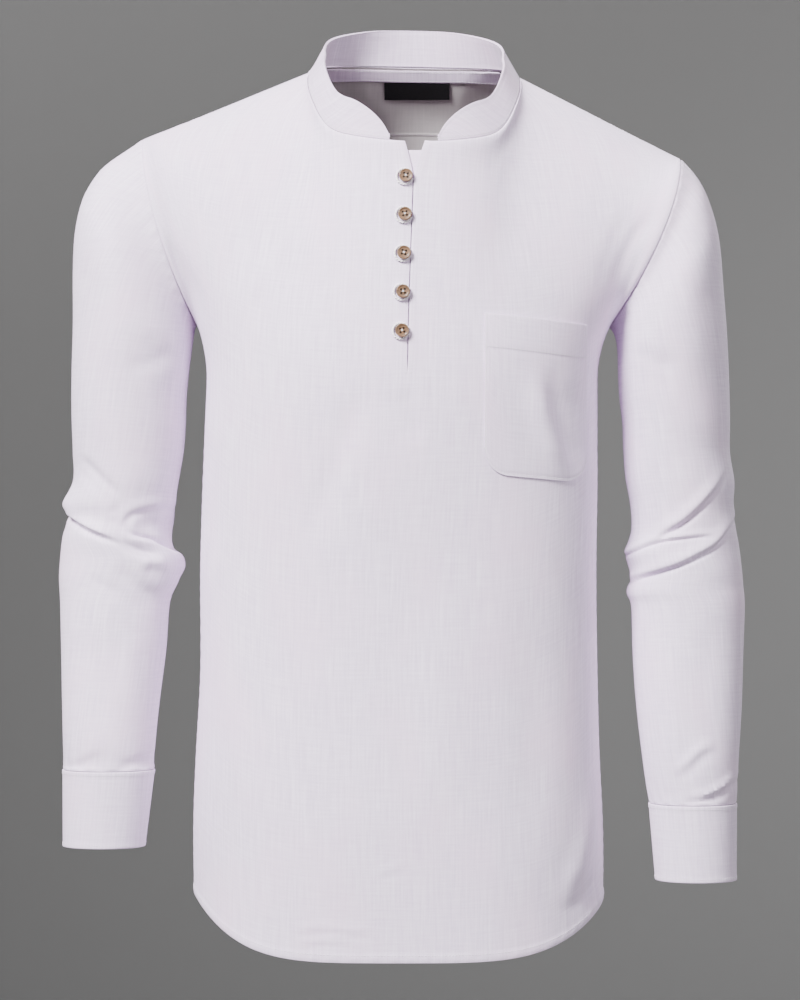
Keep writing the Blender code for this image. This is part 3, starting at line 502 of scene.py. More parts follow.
@dataclass(frozen=True)
class GarmentForm:
    """Form of the kurta, shared by its pieces: torso, armholes, neckline and yoke seam.

    A torso row is a height, then x of the right side, of the left side and of the front's
    crown, and the depths of front and back.
    """

    torso: tuple[tuple[float, ...], ...] = (
        (-775, -180, 171, -5, 118, 122),
        (-715, -181, 172, -5, 118, 123),
        (-650, -182, 172, -5, 117, 124),
        (-590, -180, 169, -5, 115, 120),
        (-515, -176, 167, -4, 112, 110),
        (-430, -176, 166, -3, 112, 104),
        (-350, -174, 167, 0, 116, 108),
        (-262, -170, 167, 3, 120, 116),
    )
    crown_power: int = 4
    chest_line: float = -262
    chest_samples: int = 161
    squareness: float = 2.5
    hem_right: float = -704
    hem_left: float = -708
    hem_middle: float = -753
    hem_squareness: float = 4.6
    right: Shoulder = Shoulder(-225, -56, -179, -216)
    left: Shoulder = Shoulder(238, -73, 177, -217)
    tip_y: float = -6
    armhole_front: float = 57
    armhole_back: float = 61
    armhole_bow: float = 1.6
    yoke_turn: float = math.radians(298)
    neck_x: float = 8.5
    neck_half: float = 91.5
    neck_y: float = -15
    neck_reach: float = 80
    neck_squareness: float = 2.5
    neck_heights: Triple = (0.13, 0.401, -0.00277)
    neck_tilt: float = -0.02
    neck_dip: float = 9
    neck_dip_y: float = -74
    neck_dip_spread: float = 18
    neck_point_turn: float = math.radians(95)
    yoke_seam_height: float = -40
    yoke_seam_depth: float = 108
    yoke_bow_depth: float = 2.6
    yoke_bow_height: float = 2.2
    yoke_fan: float = 0.75
    slit_foot: Pair = (3.5, -262)
    slit_vee: Pair = (7.5, -96)

    def shoulder(self, side: int) -> Shoulder:
        """Shoulder of a side, -1 for the wearer's right and 1 for the left."""
        return self.right if side < 0 else self.left

    def torso_points(self, heights: Array, turn: float) -> Array:
        """Points of the torso at some heights and one turn, where pi/2 is the front."""
        table = np.array(self.torso, float)
        right, left, crown, front, back = smooth_table(table, heights).T
        middle = (left + right) / 2
        ahead = math.sin(turn)
        depth = front if ahead > 0 else back
        x = middle + (left - right) / 2 * bent(math.cos(turn), 2 / self.squareness)
        if ahead > 0:
            x = x + (crown - middle) * ahead**self.crown_power
        return np.column_stack((x, -depth * bent(ahead, 2 / self.squareness), heights))

    def chest_turns(self, side: int, face: int, shares: Array) -> Array:
        """Turns at which a half panel crosses the chest line, evenly along it from its side."""
        start = 0.0 if side > 0 else math.pi
        turns = start + side * face * math.pi / 2 * np.linspace(0.0, 1.0, self.chest_samples)
        height = np.array([self.chest_line])
        travelled = distances(np.vstack([self.torso_points(height, turn) for turn in turns]))
        return np.interp(np.asarray(shares) * travelled[-1], travelled, turns)

    def hem_height(self, turn: float) -> float:
        """Height of the shirt-tail hem at a turn round the torso."""
        across = abs(math.cos(turn)) ** (2 / self.squareness)
        side = self.hem_left if math.cos(turn) > 0 else self.hem_right
        return self.hem_middle + (side - self.hem_middle) * across**self.hem_squareness

    def armhole(self, side: int, turn: float) -> Array:
        """Point of an armhole seam: turn 0 is the shoulder tip, pi/2 the front, pi the underarm."""
        shoulder = self.shoulder(side)
        down = (1 - math.cos(turn)) / 2
        x = shoulder.tip_x + (shoulder.under_x - shoulder.tip_x) * down**self.armhole_bow
        z = shoulder.tip_z + (shoulder.under_z - shoulder.tip_z) * down
        reach = self.armhole_front if math.sin(turn) > 0 else self.armhole_back
        return np.array((x, self.tip_y * (1 - down) - reach * math.sin(turn), z))

    def neck(self, side: int, turn: float) -> Array:
        """Point of the collar seam: turn 0 is the middle of the front, pi the middle of the back."""
        out = bent(math.sin(turn), 2 / self.neck_squareness)
        ahead = bent(math.cos(turn), 2 / self.neck_squareness)
        x = self.neck_x + side * self.neck_half * out
        y = self.neck_y - self.neck_reach * ahead
        level, slope, bend = self.neck_heights
        z = level + slope * y + bend * y * y + self.neck_tilt * (x - self.neck_x)
        z = z - self.neck_dip * math.exp(-(((y - self.neck_dip_y) / self.neck_dip_spread) ** 2))
        return np.array((x, y, z), float)

    def slit_x(self, height: float) -> float:
        """Where the closed slit runs at a height."""
        share = (height - self.slit_foot[1]) / (self.slit_vee[1] - self.slit_foot[1])
        return self.slit_foot[0] + (self.slit_vee[0] - self.slit_foot[0]) * share

    def shoulder_seam(self, side: int, share: float) -> Array:
        """Point of the shoulder seam, from the tip at 0 to the neck at 1."""
        tip = self.armhole(side, 0.0)
        return tip + (self.neck(side, self.neck_point_turn) - tip) * share

    def yoke_seam(self, share: float) -> Array:
        """Point of the yoke's lower seam, from the right armhole at 0 to the left one at 1."""
        right = self.armhole(-1, self.yoke_turn)
        left = self.armhole(1, self.yoke_turn)
        flat = right + (left - right) * share
        across = abs(2 * share - 1)
        y = flat[1] + (self.yoke_seam_depth - flat[1]) * (1 - across**self.yoke_bow_depth)
        z = flat[2] + (self.yoke_seam_height - flat[2]) * (1 - across**self.yoke_bow_height)
        return np.array((flat[0], y, z))

    def yoke_top(self, side: int, shoulder_shares: Array, neck_shares: Array) -> Array:
        """Upper edge of half the yoke, from the shoulder tip round the neck to the middle."""
        start = self.neck_point_turn
        points = [self.shoulder_seam(side, share) for share in shoulder_shares]
        points += [self.neck(side, start + (math.pi - start) * share) for share in neck_shares]
        return np.array(points)

    def yoke_shares(self, top: Array) -> Array:
        """How far across the yoke columns start, fanned out from the points of its upper edge."""
        straight = (top[:, 0] - self.right.tip_x) / (self.left.tip_x - self.right.tip_x)
        travelled = distances(top)
        even = straight[0] + (straight[-1] - straight[0]) * travelled / travelled[-1]
        return straight + (even - straight) * self.yoke_fan


# Tangents with which a panel reaches its upper edge, as shares of a column's length on the
# wearer's left: position (0 underarm, 1 shoulder tip, 2 neck, 3 middle), then x, y and z.
FRONT_ARRIVALS = np.array((
    (0.0, 0.35, 0.00, 0.60),
    (0.5, 0.52, 0.21, 0.25),
    (1.0, 0.26, 0.46, -0.16),
    (1.5, 0.00, 0.52, 0.08),
    (2.0, -0.08, 0.44, 0.20),
    (2.5, -0.06, 0.26, 0.50),
    (3.0, 0.00, 0.20, 0.65),
))
BACK_ARRIVALS = np.array((
    (0.0, 0.35, 0.00, 0.60),
    (0.5, 0.49, -0.14, 0.35),
    (1.0, 0.14, -0.28, 0.60),
    (2.0, 0.00, -0.28, 0.63),
))


# Finishes


NodeSocket = bpy.types.NodeSocket
Material = bpy.types.Material
FIRST_COLOUR, SECOND_COLOUR, MIXED_COLOUR = 6, 7, 2


class Bench:
    """Small helper that places and links shader nodes in a tree."""

    PITCH = 190

    def __init__(self, tree: bpy.types.NodeTree) -> None:
        """Work on a tree."""
        self.tree = tree
        self.column = 0

    def node(self, kind: str, **values: object) -> bpy.types.Node:
        """Add a node and set its named properties."""
        made = self.tree.nodes.new(f"ShaderNode{kind}")
        made.location = (self.column * self.PITCH, 0)
        self.column += 1
        for name, value in values.items():
            setattr(made, name, value)
        return made

    def link(self, start: NodeSocket, end: NodeSocket) -> None:
        """Link two sockets."""
        self.tree.links.new(start, end)

    def math(self, how: str, *values: NodeSocket | float) -> NodeSocket:
        """Add a math node on sockets or numbers and give its output."""
        made = self.node("Math", operation=how)
        for place, value in enumerate(values):
            if isinstance(value, NodeSocket):
                self.link(value, made.inputs[place])
            else:
                made.inputs[place].default_value = value
        return made.outputs[0]

    def blend(self, first: NodeSocket, share: float, second: NodeSocket, other: float) -> NodeSocket:
        """Add two values, each times its share."""
        return self.math("ADD", self.math("MULTIPLY", first, share), self.math("MULTIPLY", second, other))

    def noise(self, vector: NodeSocket, scale: Triple, detail: float = 2.0) -> NodeSocket:
        """Add a noise pattern stretched by a scale for each axis and give its value."""
        placed = self.node("Mapping")
        placed.inputs["Scale"].default_value = scale
        self.link(vector, placed.inputs["Vector"])
        made = self.node("TexNoise")
        made.inputs["Scale"].default_value = 1.0
        made.inputs["Detail"].default_value = detail
        self.link(placed.outputs[0], made.inputs["Vector"])
        return made.outputs["Fac"]

    def ramp(self, value: NodeSocket, low: float, high: float) -> NodeSocket:
        """Spread a value between two limits over 0 to 1."""
        made = self.node("MapRange", clamp=True)
        made.inputs["From Min"].default_value = low
        made.inputs["From Max"].default_value = high
        self.link(value, made.inputs["Value"])
        return made.outputs["Result"]

    def mix(self, factor: NodeSocket, first: NodeSocket | Triple, second: NodeSocket | Triple) -> NodeSocket:
        """Mix two colours, given as sockets or as colours, by a factor."""
        made = self.node("Mix", data_type="RGBA")
        self.link(factor, made.inputs["Factor"])
        for place, value in ((FIRST_COLOUR, first), (SECOND_COLOUR, second)):
            if isinstance(value, NodeSocket):
                self.link(value, made.inputs[place])
            else:
                made.inputs[place].default_value = (*value, 1.0)
        return made.outputs[MIXED_COLOUR]


@dataclass(frozen=True)
class SlubWeave:
    """Plain weave with uneven yarns, a node group that the cottons share.

    Scales are repeats a metre along the warp's width, the weft's width and nothing.
    """

    name: str = "slub weave"
    warp: Triple = (620.0, 26.0, 1.0)
    weft: Triple = (34.0, 540.0, 1.0)
    warp_share: float = 0.62
    weft_share: float = 0.38
    yarn_detail: float = 3.0
    slubs: Triple = (240.0, 11.0, 1.0)
    slub_detail: float = 1.0
    slub_range: Pair = (0.56, 0.74)
    slub_share: float = 0.10
    patches: Triple = (15.0, 9.0, 1.0)
    yarn_scale: float = 620.0
    yarn_relief: float = 0.35
    streak_relief: float = 0.8

    def bands(self, bench: Bench, place: NodeSocket, direction: str) -> NodeSocket:
        """Yarns that lie side by side along a direction."""
        made = bench.node("TexWave", wave_type="BANDS", bands_direction=direction)
        made.inputs["Scale"].default_value = self.yarn_scale
        bench.link(place, made.inputs["Vector"])
        return made.outputs["Fac"]

    def group(self) -> bpy.types.NodeTree:
        """Node group of the weave, made once.

        Returns:
            The group. Its outputs are the streaks of the yarns, broad patches of tint and the
            height of the weave.
        """
        if self.name in bpy.data.node_groups:
            return bpy.data.node_groups[self.name]
        made = bpy.data.node_groups.new(self.name, "ShaderNodeTree")
        made.interface.new_socket(name="Vector", in_out="INPUT", socket_type="NodeSocketVector")
        bench = Bench(made)
        place = made.nodes.new("NodeGroupInput").outputs["Vector"]
        down = bench.noise(place, self.warp, self.yarn_detail)
        over = bench.noise(place, self.weft, self.yarn_detail)
        thick = bench.ramp(bench.noise(place, self.slubs, self.slub_detail), *self.slub_range)
        streaks = bench.blend(down, self.warp_share, over, self.weft_share)
        streaks = bench.math("ADD", streaks, bench.math("MULTIPLY", thick, self.slub_share))
        weave = bench.math("MULTIPLY", self.bands(bench, place, "X"), self.bands(bench, place, "Y"))
        given = {
            "Streaks": streaks,
            "Patches": bench.noise(place, self.patches),
            "Height": bench.blend(weave, self.yarn_relief, streaks, self.streak_relief),
        }
        for name in given:
            made.interface.new_socket(name=name, in_out="OUTPUT", socket_type="NodeSocketFloat")
        ends = made.nodes.new("NodeGroupOutput")
        for name, value in given.items():
            bench.link(value, ends.inputs[name])
        return made


@dataclass(frozen=True)
class Finish:
    """Base of the finishes: a Principled shader with its plain values and a bump."""

    roughness: float = 0.5
    relief: float = 0.3
    relief_depth: float = 0.0002

    def start(self, name: str) -> tuple[Material, Bench, bpy.types.Node]:
        """Material under a name, with its node bench and its Principled shader."""
        made = bpy.data.materials.new(name)
        made.use_nodes = True
        shader = made.node_tree.nodes["Principled BSDF"]
        shader.inputs["Roughness"].default_value = self.roughness
        return made, Bench(made.node_tree), shader

    def raise_by(self, height: NodeSocket, bench: Bench, shader: bpy.types.Node) -> None:
        """Give the shader the finish's relief from a height."""
        bump = bench.node("Bump")
        bump.inputs["Strength"].default_value = self.relief
        bump.inputs["Distance"].default_value = self.relief_depth
        bench.link(height, bump.inputs["Height"])
        bench.link(bump.outputs[0], shader.inputs["Normal"])


@dataclass(frozen=True)
class CottonFinish(Finish):
    """Pale cotton of uneven yarns, with a soft nap."""

    light: Triple = (0.865, 0.752, 0.93)
    shade: Triple = (0.70, 0.575, 0.765)
    blush: Triple = (0.845, 0.63, 0.84)
    yarn_range: Pair = (0.36, 0.68)
    patch_range: Pair = (0.45, 0.72)
    patch_share: float = 0.55
    sheen: float = 0.12
    sheen_roughness: float = 0.5
    roughness: float = 0.86
    relief: float = 0.35
    relief_depth: float = 0.0004

    def material(self, name: str) -> Material:
        """Material of the cotton under a name."""
        made, bench, shader = self.start(name)
        chart = bench.node("UVMap", uv_map=CLOTH_MAP)
        weave = bench.node("Group", node_tree=SlubWeave().group())
        bench.link(chart.outputs[0], weave.inputs["Vector"])
        streaks = bench.ramp(weave.outputs["Streaks"], *self.yarn_range)
        patches = bench.ramp(weave.outputs["Patches"], *self.patch_range)
        yarns = bench.mix(streaks, self.shade, self.light)
        blush = bench.math("MULTIPLY", patches, self.patch_share)
        bench.link(bench.mix(blush, yarns, self.blush), shader.inputs["Base Color"])
        self.raise_by(weave.outputs["Height"], bench, shader)
        shader.inputs["Sheen Weight"].default_value = self.sheen
        shader.inputs["Sheen Roughness"].default_value = self.sheen_roughness
        return made


@dataclass(frozen=True)
class ThreadFinish(Finish):
    """Spun thread or cord, with fine plies along it."""

    colour: Triple = (0.82, 0.80, 0.83)
    dark: Triple = (0.66, 0.64, 0.68)
    plies: Triple = (1400.0, 1400.0, 840.0)
    ply_range: Pair = (0.35, 0.65)
    roughness: float = 0.7
    relief: float = 0.4

    def material(self, name: str) -> Material:
        """Material of the thread under a name."""
        made, bench, shader = self.start(name)
        plies = bench.noise(bench.node("TexCoord").outputs["Object"], self.plies)
        tone = bench.ramp(plies, *self.ply_range)
        bench.link(bench.mix(tone, self.dark, self.colour), shader.inputs["Base Color"])
        self.raise_by(plies, bench, shader)
        return made


@dataclass(frozen=True)
class WoodFinish(Finish):
    """Turned wood of a button, with grain rings and a thin lacquer."""

    pale: Triple = (0.20, 0.112, 0.062)
    dark: Triple = (0.08, 0.041, 0.022)
    grain: Triple = (260.0, 260.0, 900.0)
    grain_detail: float = 4.0
    grain_share: float = 0.75
    flecks: Triple = (1500.0, 900.0, 2400.0)
    fleck_share: float = 0.25
    tone_range: Pair = (0.36, 0.62)
    polish: float = -0.12
    coat: float = 0.25
    coat_roughness: float = 0.2
    roughness: float = 0.42
    relief: float = 0.25

    def material(self, name: str) -> Material:
        """Material of the wood under a name."""
        made, bench, shader = self.start(name)
        place = bench.node("TexCoord").outputs["Object"]
        grain = bench.noise(place, self.grain, self.grain_detail)
        figure = bench.blend(grain, self.grain_share, bench.noise(place, self.flecks), self.fleck_share)
        tone = bench.ramp(figure, *self.tone_range)
        bench.link(bench.mix(tone, self.dark, self.pale), shader.inputs["Base Color"])
        gloss = bench.math("MULTIPLY_ADD", tone, self.polish, self.roughness)
        bench.link(gloss, shader.inputs["Roughness"])
        self.raise_by(figure, bench, shader)
        shader.inputs["Coat Weight"].default_value = self.coat
        shader.inputs["Coat Roughness"].default_value = self.coat_roughness
        return made


@dataclass(frozen=True)
class SatinFinish(Finish):
    """Woven black satin of a label."""

    colour: Triple = (0.0035, 0.0032, 0.004)
    light: Triple = (0.010, 0.0095, 0.011)
    ribs: Triple = (300.0, 4200.0, 1.0)
    rib_range: Pair = (0.3, 0.7)
    specular: float = 0.25
    roughness: float = 0.55
    relief_depth: float = 0.0001

    def material(self, name: str) -> Material:
        """Material of the satin under a name."""
        made, bench, shader = self.start(name)
        ribs = bench.noise(bench.node("UVMap", uv_map=CLOTH_MAP).outputs[0], self.ribs)
        tone = bench.ramp(ribs, *self.rib_range)
        bench.link(bench.mix(tone, self.colour, self.light), shader.inputs["Base Color"])
        self.raise_by(ribs, bench, shader)
        shader.inputs["Specular IOR Level"].default_value = self.specular
        return made


@dataclass(frozen=True)
class StudioFinish(Finish):
    """Matt paint of the floor and wall of the studio, with painted shade that makes it darker towards the
    floor.
    """

    # The colour runs from painted shade at the foot to the plain paint at the top.
    foot: Triple = (0.42, 0.42, 0.422)
    top: Triple = (0.86, 0.86, 0.863)
    heights: Pair = (-1.7, 0.95)
    roughness: float = 0.9

    def material(self, name: str) -> Material:
        """Material of the paint under a name."""
        made, bench, shader = self.start(name)
        apart = bench.node("SeparateXYZ")
        bench.link(bench.node("TexCoord").outputs["Object"], apart.inputs[0])
        level = bench.ramp(apart.outputs["Z"], *self.heights)
        bench.link(bench.mix(level, self.foot, self.top), shader.inputs["Base Color"])
        return made


# Making pieces


Piece = bpy.types.Object


def deselect() -> None:
    """Leave nothing selected and nothing active."""
    bpy.ops.object.select_all(action="DESELECT")
    bpy.context.view_layer.objects.active = None


def choose(piece: Piece) -> None:
    """Make a piece the only selected and the active object."""
    deselect()
    piece.select_set(True)
    bpy.context.view_layer.objects.active = piece


def apply_modifiers(piece: Piece) -> None:
    """Apply all modifiers of a piece."""
    choose(piece)
    for modifier in list(piece.modifiers):
        bpy.ops.object.modifier_apply(modifier=modifier.name)
    deselect()


def linked(name: str, mesh: bpy.types.Mesh) -> Piece:
    """New object of a mesh, linked to the scene."""
    made = bpy.data.objects.new(name, mesh)
    bpy.context.scene.collection.objects.link(made)
    return made


def dress(piece: Piece, material: Material, slot: Slot, *nodes: str) -> Piece:
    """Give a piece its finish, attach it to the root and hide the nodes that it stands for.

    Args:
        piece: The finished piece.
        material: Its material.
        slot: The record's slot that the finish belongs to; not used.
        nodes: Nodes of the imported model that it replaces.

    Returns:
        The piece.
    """
    if not piece.data.materials:
        piece.data.materials.append(material)
    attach(piece, ROOT)
    if nodes:
        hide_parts(*nodes)
    log.info("%s: %d faces", piece.name, len(piece.data.polygons))
    return piece


@dataclass
class CutPiece:
    """A finished piece of cloth, with the size of its cut and the sewing on it."""

    piece: Piece
    flat: Pair
    area: float
    held: str
    rests_on: tuple[str, ...]
    trims: list[Piece] = field(default_factory=list)


class Workroom:
    """Turns cloth grids into shells and keeps the list of cuts."""

    WELD = 0.00001
    RIM_SHARE = 0.3
    RIM_ANGLE = math.radians(50)

    def __init__(self) -> None:
        """Start with no cuts."""
        self.cuts: dict[str, CutPiece] = {}

    def shell(
        self, grid: ClothGrid, name: str, wall: float, material: Material, node: str,
        held: str = "hung", slot: Slot = Slot.CLOTH, split: int | None = None,
        rests_on: tuple[str, ...] = (), inside: Material | None = None,
    ) -> None:
        """Make a piece of cloth with its wall and rounded edges, and note its cut.

        Args:
            grid: Outer surface of the cloth.
            name: The piece's name.
            wall: Thickness of the cloth.
            material: Its material.
            node: The node that it replaces.
            held: How the cloth is held.
            slot: The record's slot of its finish.
            split: Column after which the cloth is slit.
            rests_on: Names of the pieces that it is sewn on.
            inside: Material of its inner side, where that differs: a darker cotton that is painted shade.
        """
        piece = linked(name, grid.mesh(name, split))
        piece.data.materials.append(material)
        if inside:
            piece.data.materials.append(inside)
        if split is not None:
            weld = piece.modifiers.new("weld", "WELD")
            weld.merge_threshold = self.WELD
        solid = piece.modifiers.new("wall", "SOLIDIFY")
        solid.thickness = wall * METRES
        solid.offset = -1.0
        solid.use_quality_normals = True
        solid.material_offset = 1 if inside else 0
        rim = piece.modifiers.new("rim", "BEVEL")
        rim.width = self.RIM_SHARE * wall * METRES
        rim.segments = 2
        rim.limit_method = "ANGLE"
        rim.angle_limit = self.RIM_ANGLE
        apply_modifiers(piece)
        piece.data.shade_smooth()
        dress(piece, material, slot, node)
        length = float(grid.along[:, -1].max())
        flat = (round(grid.width() * METRES, 3), round(length * METRES, 3))
        area = round(min(grid.area() * METRES**2, flat[0] * flat[1]), 5)
        log.info("%s: cut %.3f x %.3f m, %.4f m2", name, *flat, area)
        self.cuts[name] = CutPiece(piece, flat, area, held, rests_on)


class Skin:
    """Outer surface of a panel, to lay smaller pieces on."""

    def __init__(self, grid: ClothGrid) -> None:
        """Read a grid's surface."""
        columns, rows = grid.across.shape
        near = (np.arange(columns - 1)[:, None] * rows + np.arange(rows - 1)).ravel()
        faces = np.column_stack((near, near + rows, near + rows + 1, near + 1))
        points = [Vector(point) for point in grid.points.reshape(-1, 3)]
        self.tree = BVHTree.FromPolygons(points, faces.tolist())

    def lay(self, start: Array, towards: Triple, lift: float) -> tuple[Array, Array]:
        """Point above the surface that a ray from a start hits, and its facing.

        Args:
            start: Where the ray starts.
            towards: The ray's direction.
            lift: How far the point stands off the surface, towards the start.

        Returns:
            The point and the surface's facing there, turned towards the start.
        """
        place, normal, _, _ = self.tree.ray_cast(Vector(start), Vector(towards))
        if place is None:
            raise ValueError(f"nothing under {tuple(start)}")
        if normal.dot(Vector(towards)) > 0:
            normal = -normal
        return np.array(place + normal * lift), np.array(normal)

    def laid(self, starts: Array, towards: Triple, lift: float) -> Array:
        """Grid of points laid on the surface from a grid of starts."""
        return np.array([[self.lay(start, towards, lift)[0] for start in column] for column in starts])


# Sewing


@dataclass
class Sewing:
    """Rows of machine stitches, each stitch a short thread pulled into the cloth."""

    room: Workroom
    thread: Material
    pitch: float = 2.8
    half_length: float = 1.02
    half_width: float = 0.24
    half_height: float = 0.20
    proud: float = 0.05
    segments: int = 6
    rings: int = 4

    def __post_init__(self) -> None:
        """Model the stitch that all rows copy."""
        deselect()
        bpy.ops.mesh.primitive_uv_sphere_add(segments=self.segments, ring_count=self.rings)
        shape = bpy.context.object
        self.knots = np.array([tuple(point.co) for point in shape.data.vertices])
        self.faces = [tuple(face.vertices) for face in shape.data.polygons]
        bpy.data.objects.remove(shape)

    def row(self, points: Array, facings: Array) -> Array:
        """Points of the stitches along one row.

        Args:
            points: Points along the row.
            facings: Facings of the cloth there.

        Returns:
            The stitches, each as the points of the copied shape.
        """
        places = resampled(points, self.pitch)
        keys = np.arange(len(points))
        spots = np.column_stack([np.interp(places, keys, points[:, axis]) for axis in range(3)])
        out = np.column_stack([np.interp(places, keys, facings[:, axis]) for axis in range(3)])
        out = out / np.linalg.norm(out, axis=1, keepdims=True)
        way = np.gradient(spots, axis=0)
        way = way - (way * out).sum(1, keepdims=True) * out
        way = way / np.linalg.norm(way, axis=1, keepdims=True)
        beside = np.cross(out, way)
        sizes = self.knots * (self.half_length, self.half_width, self.half_height)
        shaped = (
            way[:, None] * sizes[None, :, 0:1]
            + beside[:, None] * sizes[None, :, 1:2]
            + out[:, None] * sizes[None, :, 2:3]
        )
        return spots[:, None] + out[:, None] * self.proud + shaped

    def sew(self, name: str, host: str, rows: list[tuple[Array, Array]]) -> None:
        """Make one piece of all the stitches on a piece of cloth.

        Args:
            name: The stitches' name.
            host: Name of the cloth that they are on.
            rows: Points and facings along each row.
        """
        stitches = np.concatenate([self.row(*row) for row in rows])
        count = len(self.knots)
        faces = [
            tuple(corner + count * number for corner in face)
            for number in range(len(stitches))
            for face in self.faces
        ]
        mesh = bpy.data.meshes.new(name)
        mesh.from_pydata((stitches.reshape(-1, 3) * METRES).tolist(), [], faces)
        mesh.shade_smooth()
        made = dress(linked(name, mesh), self.thread, Slot.CORD)
        self.room.cuts[host].trims.append(made)


# Body


OPEN_FRONT = (
    Fold(((-212, -138), (-196, -161), (-182, -185), (-166, -222)), 7.0, -2.6, -0.55),
    Fold(((214, -119), (197, -141), (185, -168), (176, -204)), 7.5, -3.0, -0.5),
    Fold(((-33, -262), (-49, -309), (-69, -367), (-90, -420)), 13.0, -2.4, -0.3),
    Fold(((1, -270), (6, -293), (14, -322)), 5.5, -1.2, -0.4),
    Fold(((138, -362), (127, -329), (120, -308), (114, -283), (108, -250)), 11.0, 3.8, 0.8, Face.FRONT, 0.7),
    Fold(((158, -350), (146, -305), (140, -262)), 13.0, -2.0),
    Fold(((-26, -679), (-12, -675), (4, -672)), 2.4, 0.9, 0.6),
    Fold(((-99, -727), (-70, -724), (-44, -726), (-20, -725)), 2.6, 1.1, 0.7),
    Fold(((-92, -737), (-62, -734), (-38, -734)), 2.4, 0.8, 0.7),
    Fold(((128, -714), (147, -678), (157, -643), (164, -590)), 9.0, 2.6, 0.8),
    Fold(((132, -716), (155, -700), (172, -684)), 4.5, -1.6, -0.4),
    Fold(((-139, -400), (-143, -534), (-132, -670)), 16.0, 1.6, 0.5),
    Fold(((97, -440), (107, -570), (99, -680)), 18.0, -1.6, -0.4),
    Fold(((22, -450), (30, -551), (24, -650)), 20.0, 1.2, 0.4),
    Fold(((-165, -300), (-160, -360), (-163, -430)), 9.0, -1.6, -0.4),
    Fold(((72, -128), (112, -160), (152, -212)), 20.0, -0.8, -0.3),
    Fold(((-170, -120), (-110, -160), (-60, -230)), 18.0, -1.3, -0.3),
)
CLOSED_BACK = (
    Fold(((-205, -138), (-186, -170), (-172, -215)), 8.0, -2.6, -0.5, Face.BACK),
    Fold(((210, -140), (190, -172), (172, -215)), 8.0, -2.6, -0.5, Face.BACK),
    Fold(((-110, -140), (-96, -260), (-104, -420)), 17.0, 2.2, 0.5, Face.BACK),
    Fold(((104, -150), (88, -280), (98, -440)), 17.0, 2.2, 0.5, Face.BACK),
    Fold(((-10, -240), (4, -380), (-6, -540)), 20.0, -1.8, -0.3, Face.BACK),
    Fold(((-60, -470), (-72, -590), (-60, -720)), 16.0, 1.8, 0.5, Face.BACK),
    Fold(((66, -480), (78, -600), (64, -730)), 16.0, 1.8, 0.5, Face.BACK),
    Fold(((-150, -330), (-90, -372), (-20, -380)), 9.0, -1.6, -0.6, Face.BACK),
    Fold(((150, -320), (96, -368), (30, -392)), 9.0, -1.6, -0.6, Face.BACK),
    Fold(((-130, -690), (-90, -712), (-40, -722)), 3.0, 1.2, 0.6, Face.BACK),
    Fold(((40, -724), (96, -712), (140, -684)), 3.0, 1.2, 0.6, Face.BACK),
)


